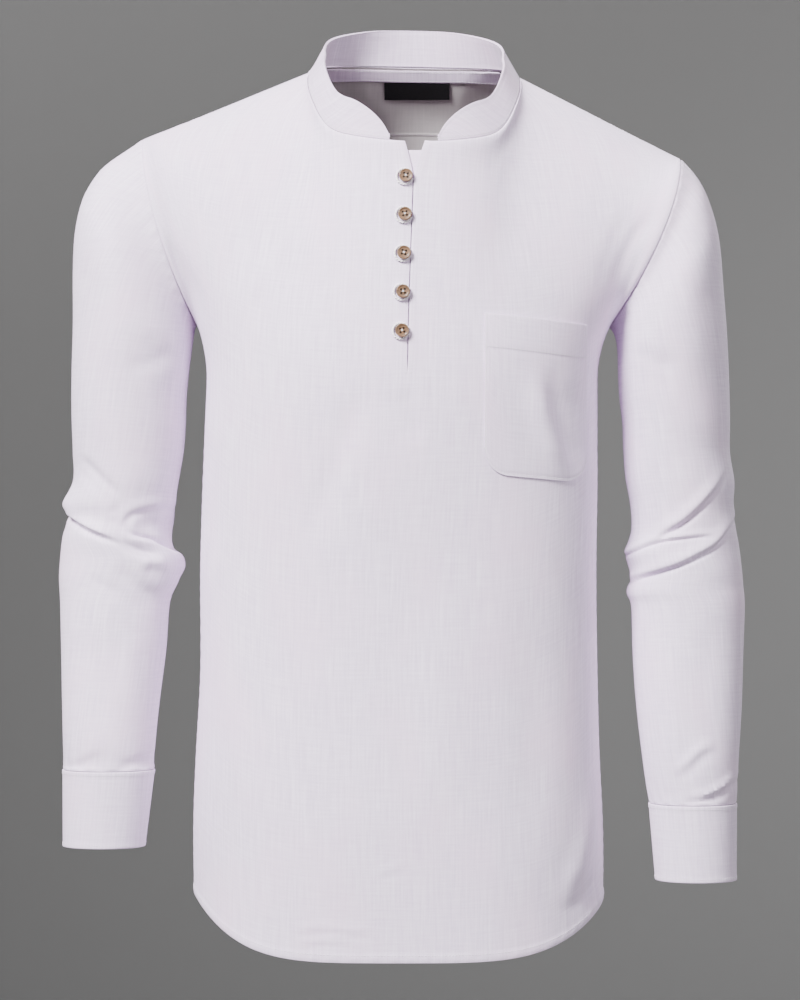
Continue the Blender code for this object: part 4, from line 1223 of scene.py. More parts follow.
@dataclass
class BodyPanels:
    """Front with its slit, back and yoke, with the pocket and the strip behind the slit."""

    form: GarmentForm
    room: Workroom
    sewing: Sewing
    cotton: Material
    # Darker cotton for the inner side of the back and the yoke: painted shade.
    inner_shade: Material
    wall: float = 1.2
    step: float = 3.6
    hem_band: float = 7.5
    hem_kept: float = 2.5
    hem_stitch_inset: float = 6.1
    hem_pucker: Pair = (0.4, 14.0)
    armhole_columns: int = 38
    shoulder_columns: int = 20
    neck_columns: int = 28
    armhole_share: float = 0.42
    shoulder_share: float = 0.68
    skirt_length: float = 450
    chest_length: float = 200
    relax_rounds: int = 130
    relax_reach: float = 30.0
    relax_hem_reach: float = 40.0
    crease_reach: float = 14.0
    uneven_rise: float = 0.75
    uneven_length: float = 62.0
    uneven_reach: float = 40.0
    front_seed: int = 5
    back_seed: int = 8
    vee_height: float = -96
    vee_right: float = 7.5
    vee_left: float = 8.5
    vee_bow: float = 1.3
    vee_reach: float = 22.0
    slit_run: float = 14.0
    slit_reach: float = 8.0
    slit_half: float = 0.48
    tack_place: Triple = (3.4, -300.0, -261.0)
    tack_half: float = 2.2
    tack_points: int = 5
    tack_lift: float = 0.1
    slit_sunk: float = 0.35
    slit_proud: float = 0.55
    pocket_x: float = 67
    pocket_top: float = -211
    pocket_width: float = 87
    pocket_height: float = 134
    pocket_droop: float = 8
    pocket_corner: float = 20
    pocket_hem: float = 29
    pocket_lift: float = 1.25
    pocket_wall: float = 1.0
    pocket_columns: int = 41
    pocket_step: float = 3.0
    pocket_fold: Pair = (2.4, 0.1)
    pocket_sink: Pair = (0.2, 4.0)
    pocket_hem_proud: float = 0.3
    pocket_stitch_inset: float = 2.0
    pocket_hem_stitch: float = 27.8
    mouth_gape: float = 1.5
    mouth_bow: float = 2.5
    mouth_reach: float = 26.0
    underlap_wall: float = 1.1
    underlap_gap: float = 0.9
    underlap_columns: int = 14
    underlap_step: float = 4.0
    underlap_fold: Pair = (5.0, 0.2)
    underlap_foot: float = -272
    underlap_top: float = -73
    underlap_right: float = -12
    underlap_width: float = 27
    yoke_length: float = 100.0
    yoke_leave: Triple = (0.0, -0.40, 0.90)
    yoke_over: Triple = (0.0, -1.0, -0.35)
    yoke_up: Triple = (0.0, -0.55, 0.85)
    yoke_blend: float = 0.5
    yoke_pull: tuple[Pair, ...] = (
        (0.0, 1.0), (0.025, 0.97), (0.25, 0.6), (0.5, 0.3), (0.75, 0.1), (1.0, 0.0),
    )
    yoke_uneven: Triple = (0.5, 55.0, 30.0)
    yoke_seed: int = 3
    yoke_pucker: float = 0.2
    yoke_stitch_inset: float = 3.0
    front_skin: Skin = field(init=False)
    yoke_surface: ClothGrid = field(init=False)

    def column(self, turn: float, top: Array, arrival: Array) -> Array:
        """Points of one column of a panel, from the hem through the chest line to its top."""
        form = self.form
        marks = spaced(self.skirt_length, self.step, (self.hem_band,))
        hem = form.hem_height(turn)
        length = form.chest_line - hem
        kept = self.hem_kept * self.hem_band
        stretch = (length - kept) / (self.skirt_length - kept)
        above = np.where(marks < kept, marks, kept + (marks - kept) * stretch)
        skirt = form.torso_points(hem + above[:-1], turn)
        start = form.torso_points(np.array([form.chest_line]), turn)[0]
        reach = float(np.linalg.norm(top - start))
        rows = spaced(self.chest_length, self.step, (self.chest_length - SEAM_MARK,)) / self.chest_length
        leave = np.array((0.0, 0.0, reach))
        chest = hermite(start, leave, top, arrival * reach, rows[:, None])
        return np.vstack((skirt, chest))

    def half(self, side: int, face: Face) -> Array:
        """Columns of half a panel, from its side seam to its middle.

        Args:
            side: -1 for the wearer's right and 1 for the left.
            face: Front or back panel.

        Returns:
            The columns' points.
        """
        form = self.form
        front = face is Face.FRONT
        end = 0.0 if front else form.yoke_turn
        plan = []
        for share in np.linspace(0.0, 1.0, self.armhole_columns + 1):
            top = form.armhole(side, math.pi + (end - math.pi) * share)
            plan.append((share * self.armhole_share, top, share))
        if front:
            span = self.shoulder_share - self.armhole_share
            for share in np.linspace(0.0, 1.0, self.shoulder_columns + 1)[1:]:
                top = form.shoulder_seam(side, share)
                plan.append((self.armhole_share + span * share, top, 1 + share))
            for share in np.linspace(0.0, 1.0, self.neck_columns + 1)[1:]:
                top = form.neck(side, form.neck_point_turn * (1 - share))
                plan.append((self.shoulder_share + (1 - self.shoulder_share) * share, top, 2 + share))
        else:
            count = self.shoulder_columns + self.neck_columns
            for share in np.linspace(0.0, 1.0, count + 1)[1:]:
                across = share / 2 if side < 0 else 1 - share / 2
                chest = self.armhole_share + (1 - self.armhole_share) * share
                plan.append((chest, form.yoke_seam(across), 1 + share))
        turns = form.chest_turns(side, -face.value, np.array([row[0] for row in plan]))
        arrivals = FRONT_ARRIVALS if front else BACK_ARRIVALS
        tangents = smooth_table(arrivals, np.array([row[2] for row in plan])) * (side, 1, 1)
        return np.array([
            self.column(turn, top, tangent) for turn, (_, top, _), tangent in zip(turns, plan, tangents)
        ])

    def panel(self, face: Face) -> ClothGrid:
        """Smooth grid of the whole front or back."""
        right = self.half(-1, face)
        left = self.half(1, face)[::-1]
        points = np.concatenate((right, left[1:]))
        made = ClothGrid(points if face is Face.FRONT else points[::-1])
        weight = made.fade(self.relax_reach, *SIDES, Edge.TOP) * made.fade(self.relax_hem_reach, Edge.FOOT)
        return made.relaxed(self.relax_rounds, weight)

    def draped(self, grid: ClothGrid, folds: tuple[Fold, ...], seed: int) -> ClothGrid:
        """Panel with its creases, its hem and the puckers of its seams."""
        grid = grid.creased(folds, grid.fade(self.crease_reach, *SIDES, Edge.TOP))
        calm = grid.fade(self.uneven_reach, *SIDES, Edge.TOP)
        grid = grid.uneven(self.uneven_rise, self.uneven_length, seed, calm)
        for edge in (*SIDES, Edge.TOP):
            grid = grid.puckered(edge).seamed(edge)
        return grid.puckered(Edge.FOOT, *self.hem_pucker).turned_edge(Edge.FOOT, self.hem_band)

    def slit(self, grid: ClothGrid) -> tuple[ClothGrid, int]:
        """Open the front down to the chest line, with the V at its top and one edge a little proud.

        Args:
            grid: The whole front.

        Returns:
            The slit grid, with its middle column twice, and the column before the slit.
        """
        middle = self.armhole_columns + self.shoulder_columns + self.neck_columns
        from_middle = np.abs(grid.across - grid.across[middle])
        height = grid.points[..., 2]
        top = grid.points[middle, -1, 2]
        vee = np.maximum(0.0, (height - self.vee_height) / (top - self.vee_height)) ** self.vee_bow
        opened = ease((height - self.form.chest_line) / self.slit_run)
        wide = 1.0 - ease(from_middle / self.vee_reach)
        narrow = opened * (1.0 - ease(from_middle / self.slit_reach))
        normals = grid.normals()
        right = -(self.slit_half * narrow + self.vee_right * vee * wide)
        left = self.slit_half * narrow + self.vee_left * vee * wide
        sunk = -self.slit_sunk * narrow
        proud = self.slit_proud * narrow
        right_points = grid.points + SIDEWAYS * right[..., None] + normals * sunk[..., None]
        left_points = grid.points + SIDEWAYS * left[..., None] + normals * proud[..., None]
        made = ClothGrid(np.concatenate((right_points[:middle + 1], left_points[middle:])))
        made.across = np.concatenate((grid.across[:middle + 1], grid.across[middle:]))
        made.along = np.concatenate((grid.along[:middle + 1], grid.along[middle:]))
        return made, middle

    def yoke_grid(self) -> ClothGrid:
        """Grid of the back yoke, from its seam over the shoulders to the neck."""
        form = self.form
        shoulder = np.linspace(0.0, 1.0, 2 * self.shoulder_columns + 1)
        neck = np.linspace(0.0, 1.0, self.neck_columns + 1)[1:]
        tops = [form.yoke_top(side, shoulder, neck) for side in (-1, 1)]
        shares = [form.yoke_shares(top) for top in tops]
        top = np.concatenate((tops[0], tops[1][::-1][1:]))
        across = np.concatenate((shares[0], shares[1][::-1][1:]))
        marks = (SEAM_MARK, self.yoke_length - SEAM_MARK)
        rows = spaced(self.yoke_length, self.step, marks)[:, None] / self.yoke_length
        leaving = np.array(self.yoke_leave) / np.linalg.norm(self.yoke_leave)
        over = np.array(self.yoke_over)
        up = np.array(self.yoke_up)
        columns = []
        for end, share in zip(top, across):
            start = form.yoke_seam(share)
            reach = float(np.linalg.norm(end - start))
            inside = 1 - abs(end[0] - form.neck_x) / form.neck_half
            arrive = over + (up - over) * min(1.0, max(0.0, inside / self.yoke_blend))
            arrive = arrive / np.linalg.norm(arrive)
            columns.append(hermite(start, leaving * reach, end, arrive * reach, rows))
        points = np.array(columns)
        pull = np.interp(shoulder, *zip(*self.yoke_pull))
        turns = form.yoke_turn + (2 * math.pi - form.yoke_turn) * rows[:, 0]
        for side, edge, order in ((-1, 0, 1), (1, len(points) - 1, -1)):
            shift = np.array([form.armhole(side, turn) for turn in turns]) - points[edge]
            for number, weight in enumerate(pull):
                points[edge + order * number] = points[edge + order * number] + shift * weight
        return ClothGrid(points[::-1])

    def pocket(self) -> ClothGrid:
        """Grid of the chest pocket, with a straight mouth and a rounded bottom."""
        across = np.linspace(0.0, 1.0, self.pocket_columns)
        marks = (SEAM_MARK, self.pocket_hem, self.pocket_height - SEAM_MARK)
        drops = spaced(self.pocket_height, self.pocket_step, marks)[::-1]
        spots = []
        for share in across:
            to_side = (1 - abs(2 * share - 1)) * self.pocket_width / 2
            corner = max(0.0, 1 - to_side / self.pocket_corner)
            rise = self.pocket_corner * (1 - math.sqrt(1 - corner**2))
            top = self.pocket_top - self.pocket_droop * share
            bottom = self.pocket_top - self.pocket_height - self.pocket_droop * share + rise
            heights = top - (top - bottom) * drops / self.pocket_height
            place = self.pocket_x + self.pocket_width * share
            spots.append([(place, -OUTSIDE, height) for height in heights])
        made = ClothGrid(self.front_skin.laid(np.array(spots), BACKWARDS, self.pocket_lift))
        middle = 1.0 - np.abs(2.0 * across - 1.0) ** self.mouth_bow
        mouth = np.exp(-made.distance(Edge.TOP) / self.mouth_reach)
        made = made.moved(self.mouth_gape * middle[:, None] * mouth)
        for edge in (*SIDES, Edge.FOOT):
            made = made.turned_edge(edge, *self.pocket_fold).seamed(edge, *self.pocket_sink)
        return made.turned_edge(Edge.TOP, self.pocket_hem, self.pocket_hem_proud)

    def underlap(self) -> ClothGrid:
        """Grid of the strip behind the slit."""
        length = self.underlap_top - self.underlap_foot
        heights = spaced(length, self.underlap_step, (SEAM_MARK,)) + self.underlap_foot
        starts = np.array([
            [(self.form.slit_x(height) + self.underlap_right + across, 0.0, height) for height in heights]
            for across in np.linspace(0.0, self.underlap_width, self.underlap_columns)
        ])
        made = ClothGrid(self.front_skin.laid(starts, FORWARDS, self.wall + self.underlap_gap))
        return made.turned_edge(Edge.TOP, *self.underlap_fold)

    def tack(self) -> tuple[Array, Array]:
        """Points and facings of the short row of stitches at the slit's foot."""
        across = np.linspace(-self.tack_half, self.tack_half, self.tack_points)
        places = [self.tack_place + SIDEWAYS * shift for shift in across]
        laid = [self.front_skin.lay(place, BACKWARDS, self.tack_lift) for place in places]
        return np.array([point for point, _ in laid]), np.array([facing for _, facing in laid])

    def build(self) -> None:
        """Make the panels, the pocket and the strip behind the slit, with their sewing."""
        front = self.draped(self.panel(Face.FRONT), OPEN_FRONT, self.front_seed)
        self.front_skin = Skin(front)
        slit, middle = self.slit(front)
        self.room.shell(slit, "kurta_front", self.wall, self.cotton, "front", split=middle)
        back = self.draped(self.panel(Face.BACK), CLOSED_BACK, self.back_seed)
        self.room.shell(back, "kurta_back", self.wall, self.cotton, "back", inside=self.inner_shade)
        yoke = self.yoke_grid()
        rise, length, reach = self.yoke_uneven
        yoke = yoke.uneven(rise, length, self.yoke_seed, yoke.fade(reach, *Edge))
        for edge in Edge:
            yoke = yoke.puckered(edge, self.yoke_pucker).seamed(edge)
        self.yoke_surface = yoke
        self.room.shell(yoke, "kurta_yoke", self.wall, self.cotton, "yoke", inside=self.inner_shade)
        pocket = self.pocket()
        for name, grid, wall in (
            ("pocket", pocket, self.pocket_wall), ("underlap", self.underlap(), self.underlap_wall),
        ):
            self.room.shell(
                grid, f"kurta_{name}", wall, self.cotton, name, "laid", rests_on=("kurta_front",),
            )
        hem = [front.line(Edge.FOOT, self.hem_stitch_inset), self.tack()]
        self.sewing.sew("kurta_front_stitches", "kurta_front", hem)
        self.sewing.sew("kurta_back_stitches", "kurta_back", [back.line(Edge.FOOT, self.hem_stitch_inset)])
        shoulder = 2 * self.shoulder_columns + 1
        points, facings = yoke.line(Edge.TOP, self.yoke_stitch_inset)
        self.sewing.sew("kurta_yoke_stitches", "kurta_yoke", [
            yoke.line(Edge.FOOT, self.yoke_stitch_inset),
            (points[:shoulder], facings[:shoulder]),
            (points[-shoulder:], facings[-shoulder:]),
        ])
        rows = [pocket.line(edge, self.pocket_stitch_inset) for edge in (*SIDES, Edge.FOOT)]
        rows.append(pocket.line(Edge.TOP, self.pocket_hem_stitch))
        self.sewing.sew("kurta_pocket_stitches", "kurta_pocket", rows)


# Sleeves


RIGHT_CREASES = (
    Fold(
        ((-306, -366), (-292, -373), (-286, -380), (-276, -387), (-264, -393), (-250, -398), (-234, -404)),
        7.0, 3.4, 0.85, Face.FRONT, 0.30,
    ),
    Fold(((-282, -326), (-268, -340), (-254, -353), (-236, -369)), 4.4, -2.3, -0.5),
    Fold(
        ((-178, -422), (-190, -417), (-206, -410), (-216, -404), (-227, -401), (-235, -397), (-244, -386)),
        5.0, 2.8, 0.8, Face.FRONT, 0.36,
    ),
    Fold(((-242, -400), (-232, -407), (-220, -411), (-205, -416)), 2.2, -1.6, -0.6),
    Fold(((-184, -386), (-202, -388), (-217, -387), (-233, -387)), 10.0, -4.2),
    Fold(
        ((-247, -397), (-242, -384), (-233, -375), (-217, -371), (-198, -369), (-176, -368)),
        6.0, 1.0, 1.6, Face.FRONT, 0.55,
    ),
    Fold(((-238, -417), (-234, -434), (-220, -446), (-206, -458)), 7.0, -1.8, -0.4),
    Fold(((-250, -392), (-244, -380), (-252, -372)), 5.0, -1.3, -0.4),
    Fold(((-274, -429), (-255, -441), (-238, -449)), 5.0, -1.0, -0.4),
    Fold(((-228, -424), (-215, -419), (-200, -424)), 5.0, 1.6, 0.6),
    Fold(((-306, -598), (-280, -594), (-267, -588), (-248, -581)), 3.4, -1.5, -0.7),
    Fold(((-246, -596), (-227, -590), (-204, -583)), 3.4, -1.6, -0.7),
    Fold(((-262, -470), (-256, -520), (-262, -580)), 10.0, -1.0, -0.4),
    Fold(((-228, -470), (-234, -520), (-228, -570)), 9.0, 1.0, 0.4),
    Fold(((-250, -120), (-246, -190), (-250, -280)), 14.0, 1.3, 0.4),
    Fold(((-192, -235), (-214, -250), (-240, -252)), 8.0, -1.8, -0.5),
    Fold(((-300, -372), (-262, -392), (-205, -420), (-186, -424)), 7.0, 3.0, 0.8, Face.BACK),
    Fold(((-290, -340), (-250, -366), (-210, -392)), 8.0, -2.0, -0.4, Face.BACK),
    Fold(((-280, -440), (-250, -424), (-200, -440)), 7.0, -1.8, -0.5, Face.BACK),
    Fold(((-190, -238), (-220, -262), (-256, -270)), 9.0, -2.0, -0.5, Face.BACK),
    Fold(((-272, -140), (-266, -220), (-272, -300)), 13.0, 1.5, 0.4, Face.BACK),
)
LEFT_CREASES = (
    Fold(
        ((204, -405), (214, -399), (225, -391), (236, -384), (245, -376), (253, -368), (261, -359),
         (268, -350), (279, -331)),
        6.5, 3.0, 0.8, Face.FRONT, 0.36,
    ),
    Fold(
        ((178, -422), (188, -415), (197, -409), (214, -402), (236, -398), (256, -396), (268, -396)),
        3.4, 1.9, 0.85, Face.FRONT, 0.42,
    ),
    Fold(
        ((180, -448), (190, -437), (205, -430), (231, -421), (248, -413), (265, -403), (280, -386),
         (294, -366)),
        7.0, 3.0, 0.85, Face.FRONT, 0.28,
    ),
    Fold(((224, -602), (240, -590), (252, -579), (269, -573)), 4.0, 1.7, 0.6),
    Fold(((226, -620), (252, -618), (266, -613), (276, -607), (290, -597)), 3.0, 2.1, 0.9),
    Fold(((262, -460), (256, -520), (262, -600)), 10.0, -1.0, -0.4),
    Fold(((222, -470), (230, -540), (226, -600)), 9.0, 1.0, 0.4),
    Fold(((246, -140), (242, -210), (247, -290)), 14.0, 1.3, 0.4),
    Fold(((190, -235), (212, -250), (238, -252)), 8.0, -1.8, -0.5),
    Fold(((186, -426), (210, -420), (262, -392), (296, -366)), 7.0, 3.0, 0.8, Face.BACK),
    Fold(((206, -392), (246, -366), (288, -336)), 8.0, -2.0, -0.4, Face.BACK),
    Fold(((200, -446), (244, -430), (288, -446)), 7.0, -1.8, -0.5, Face.BACK),
    Fold(((188, -238), (216, -262), (250, -270)), 9.0, -2.0, -0.5, Face.BACK),
    Fold(((262, -150), (256, -230), (264, -310)), 13.0, 1.5, 0.4, Face.BACK),
)


@dataclass(frozen=True)
class SleeveCut:
    """Rings of one sleeve, from the armhole down, and the lower edge of its cuff.

    A ring is outer x, outer z, inner x, inner z, half depth and middle in y.
    """

    side: int
    name: str
    rings: tuple[tuple[float, ...], ...]
    cuff_end: tuple[float, ...]
    strip_span: Pair
    creases: tuple[Fold, ...]


RIGHT_SLEEVE = SleeveCut(-1, "right", (
    (-238, -64, -181.0, -219, 60, 1), (-254, -75, -181.4, -222, 63, 1),
    (-265, -86, -181.8, -225, 66, 1), (-277, -107, -182.3, -229, 69, 1),
    (-284, -137, -183, -235, 70, 1), (-286, -172, -184, -244, 70, 1),
    (-286, -211, -186, -260, 68, 1), (-287, -254, -188, -280, 65, 2),
    (-287, -293, -189, -303, 62, 3), (-286, -326, -191, -326, 59, 4),
    (-286, -350, -195, -348, 57, 4), (-294, -369, -198, -367, 55, 4),
    (-291, -382, -199, -386, 54, 4), (-295, -398, -201, -405, 54, 3),
    (-297, -416, -191, -421, 53, 2), (-298, -434, -195, -437, 51, 0),
    (-297, -456, -203, -455, 49, -2), (-296, -496, -206, -496, 46, -6),
    (-295, -540, -211, -540, 44, -11), (-294, -575, -214, -575, 42, -15),
    (-293, -598, -215, -598, 39, -17),
), (-292.5, -664, -223, -664, 36, -20), (-575, -456), RIGHT_CREASES)
LEFT_SLEEVE = SleeveCut(1, "left", (
    (247, -81, 180.0, -220, 60, 1), (256, -93, 181.6, -223, 63, 1),
    (263, -109, 182.6, -226, 66, 1), (269, -129, 183.6, -230, 69, 1),
    (273, -151, 184.4, -236, 70, 1), (276, -185, 184.8, -245, 70, 1),
    (279, -222, 184.6, -258, 68, 1), (281, -260, 186, -276, 65, 2),
    (282, -297, 189, -302, 62, 3), (282, -326, 190, -326, 59, 4),
    (286, -351, 192, -349, 57, 4), (285, -371, 196, -371, 55, 4),
    (287, -389, 197, -393, 54, 4), (290, -409, 192, -413, 54, 3),
    (292, -427, 197, -429, 53, 2), (293, -441, 193, -446, 51, 0),
    (294, -458, 197, -460, 49, -2), (292, -500, 198, -500, 46, -6),
    (290, -545, 201, -545, 44, -11), (287, -590, 206, -590, 42, -15),
    (285.5, -627, 211, -627, 39, -17),
), (285, -693, 216.5, -693, 36, -20), (-590, -478), LEFT_CREASES)


@dataclass
class Sleeve:
    """One sleeve with the strip over its slit, and its cuff."""

    form: GarmentForm
    cut: SleeveCut
    room: Workroom
    sewing: Sewing
    cotton: Material
    wall: float = 1.2
    cuff_wall: float = 2.0
    strip_wall: float = 1.1
    step: float = 3.4
    fine_step: float = 1.4
    cap_lead: float = 10.0
    crease_reaches: Pair = (12.0, 5.0)
    uneven_rise: float = 0.7
    uneven_length: float = 52.0
    uneven_reaches: Pair = (35.0, 10.0)
    seeds: Pair = (10, 12)
    cap_pucker: Pair = (0.5, 15.0)
    wrist_pucker: Pair = (0.6, 17.0)
    wrist_sink: Pair = (0.25, 1.6)
    elbow: Pair = (150.0, 290.0)
    columns: int = 156
    roundness: float = 0.9
    bow_rows: float = 6
    cuff_proud: float = 0.6
    lap_lift: float = 2.6
    cuff_gap: float = 0.4
    opening_turn: float = math.radians(290)
    overlap: float = math.radians(30)
    lap_start: float = 0.72
    lap_ramp: float = 0.18
    cuff_columns: int = 110
    cuff_edge_rows: tuple[float, ...] = (0.0, 0.02, 0.04, 0.07)
    cuff_middle: Pair = (0.11, 0.89)
    cuff_rows: int = 18
    cuff_fold: Pair = (4.5, 0.3)
    cuff_stitch_inset: float = 3.2
    strip_width: float = 22
    strip_shift: float = 3.6
    strip_lift: float = 1.5
    strip_columns: int = 12
    strip_edge_rows: Pair = (0.0, 0.012)
    strip_middle: Pair = (0.03, 0.97)
    strip_rows: int = 34
    strip_fold: Pair = (1.6, 0.2)
    strip_stitch_inset: float = 1.8
    button_shift: float = 4
    button_drop: float = 30
    button_lift: float = 1.5
    grid: ClothGrid = field(init=False)
    button_place: tuple[Array, Array] = field(init=False)

    def ring_point(self, ring: Array, turn: float, bow: float) -> Array:
        """Point of a sleeve ring: turn 0 is its outer edge and pi its inner edge."""
        outer_x, outer_z, inner_x, inner_z, half_depth, mid_y = ring
        down = (1 - math.cos(turn)) / 2
        x = outer_x + (inner_x - outer_x) * down**bow
        z = outer_z + (inner_z - outer_z) * down
        return np.array((x, mid_y - half_depth * bent(math.sin(turn), self.roundness), z))

    def tube(self) -> ClothGrid:
        """Grid of the sleeve, closed round, from the cuff up to the armhole."""
        rings = np.array(self.cut.rings, float)
        turns = np.linspace(0.0, 2 * math.pi, self.columns + 1)[:-1]
        travelled = distances((rings[:, 0:2] + rings[:, 2:4]) / 2) + self.cap_lead
        keys = np.concatenate(([-1.0], np.arange(len(rings))))
        total = travelled[-1]
        marks = spaced(total, self.step, (SEAM_MARK, total - SEAM_MARK))
        start, end = (total - place for place in self.elbow[::-1])
        around = marks[(marks < start) | (marks > end)]
        marks = np.sort(np.concatenate((around, np.arange(start, end, self.fine_step))))
        places = np.interp(marks, np.concatenate(([0.0], travelled)), keys)
        columns = []
        for turn in turns:
            coarse = [self.form.armhole(self.cut.side, turn)]
            for number, ring in enumerate(rings):
                extra = max(0.0, 1 - (number + 1) / self.bow_rows)
                bow = 1 + (self.form.armhole_bow - 1) * extra
                coarse.append(self.ring_point(ring, turn, bow))
            columns.append(smooth_table(np.column_stack((keys, coarse)), places)[::-1])
        points = np.array(columns)
        return ClothGrid(points[::-1] if self.cut.side > 0 else points, closed=True)

    def cuff(self) -> ClothGrid:
        """Grid of the cuff, from its lower edge up, lapped at the back of the wrist."""
        top = np.array(self.cut.rings[-1])
        bottom = np.array(self.cut.cuff_end)
        rows = edged_rows(self.cuff_edge_rows, self.cuff_middle, self.cuff_rows)
        columns = []
        for share in np.linspace(0.0, 1.0, self.cuff_columns + 1):
            turn = self.opening_turn + (2 * math.pi + self.overlap) * share
            lapped = min(1.0, max(0.0, (share - self.lap_start) / self.lap_ramp))
            lift = self.cuff_proud + self.lap_lift * float(ease(lapped))
            column = []
            for part in rows:
                ring = bottom + (top - bottom) * part
                centre = np.array(((ring[0] + ring[2]) / 2, ring[5], 0.0))
                point = self.ring_point(ring, turn, 1.0)
                away = (point - centre) * (1.0, 1.0, 0.0)
                away = away / np.linalg.norm(away)
                column.append(point + away * lift - np.array((0.0, 0.0, self.cuff_gap * part)))
            columns.append(column)
        points = np.array(columns)
        return ClothGrid(points[::-1] if self.cut.side > 0 else points)

    def wrist(self) -> Pair:
        """Middle x and outer height of the sleeve's lowest ring."""
        outer_x, outer_z, inner_x = self.cut.rings[-1][:3]
        return (outer_x + inner_x) / 2, outer_z

    def strip(self) -> ClothGrid:
        """Grid of the strip over the sleeve's slit, laid on the back of the sleeve."""
        skin = Skin(self.grid)
        foot, top = self.cut.strip_span
        middle = self.wrist()[0] + self.cut.side * self.strip_shift
        heights = foot + (top - foot) * edged_rows(self.strip_edge_rows, self.strip_middle, self.strip_rows)
        half = self.strip_width / 2
        starts = np.array([
            [(middle + across, OUTSIDE, height) for height in heights]
            for across in np.linspace(half, -half, self.strip_columns)
        ])
        return ClothGrid(skin.laid(starts, FORWARDS, self.strip_lift))

    def build(self) -> None:
        """Make the sleeve, its strip and its cuff, with their sewing."""
        name = self.cut.name
        tube = self.tube()
        tube = tube.creased(self.cut.creases, tube.faded_ends(self.crease_reaches))
        seed = self.seeds[self.cut.side > 0]
        tube = tube.uneven(self.uneven_rise, self.uneven_length, seed, tube.faded_ends(self.uneven_reaches))
        tube = tube.puckered(Edge.TOP, *self.cap_pucker).puckered(Edge.FOOT, *self.wrist_pucker)
        self.grid = tube.seamed(Edge.TOP).seamed(Edge.FOOT, *self.wrist_sink)
        sleeve = f"kurta_sleeve_{name}"
        self.room.shell(self.grid, sleeve, self.wall, self.cotton, f"sleeve_{name}")
        cuff = self.cuff()
        for edge in Edge:
            cuff = cuff.turned_edge(edge, *self.cuff_fold)
        self.room.shell(cuff, f"kurta_cuff_{name}", self.cuff_wall, self.cotton, f"cuff_{name}", "folded")
        middle, height = self.wrist()
        start = (middle + self.cut.side * self.button_shift, OUTSIDE, height - self.button_drop)
        self.button_place = Skin(cuff).lay(np.array(start), FORWARDS, self.button_lift)
        strip = self.strip()
        for edge in Edge:
            strip = strip.turned_edge(edge, *self.strip_fold)
        self.room.shell(
            strip, f"kurta_sleeve_strip_{name}", self.strip_wall, self.cotton, f"sleeve_placket_{name}",
            "laid", rests_on=(sleeve,),
        )
        for host, grid, inset in (
            (f"kurta_cuff_{name}", cuff, self.cuff_stitch_inset),
            (f"kurta_sleeve_strip_{name}", strip, self.strip_stitch_inset),
        ):
            self.sewing.sew(f"{host}_stitches", host, [grid.line(edge, inset) for edge in Edge])


# Neck


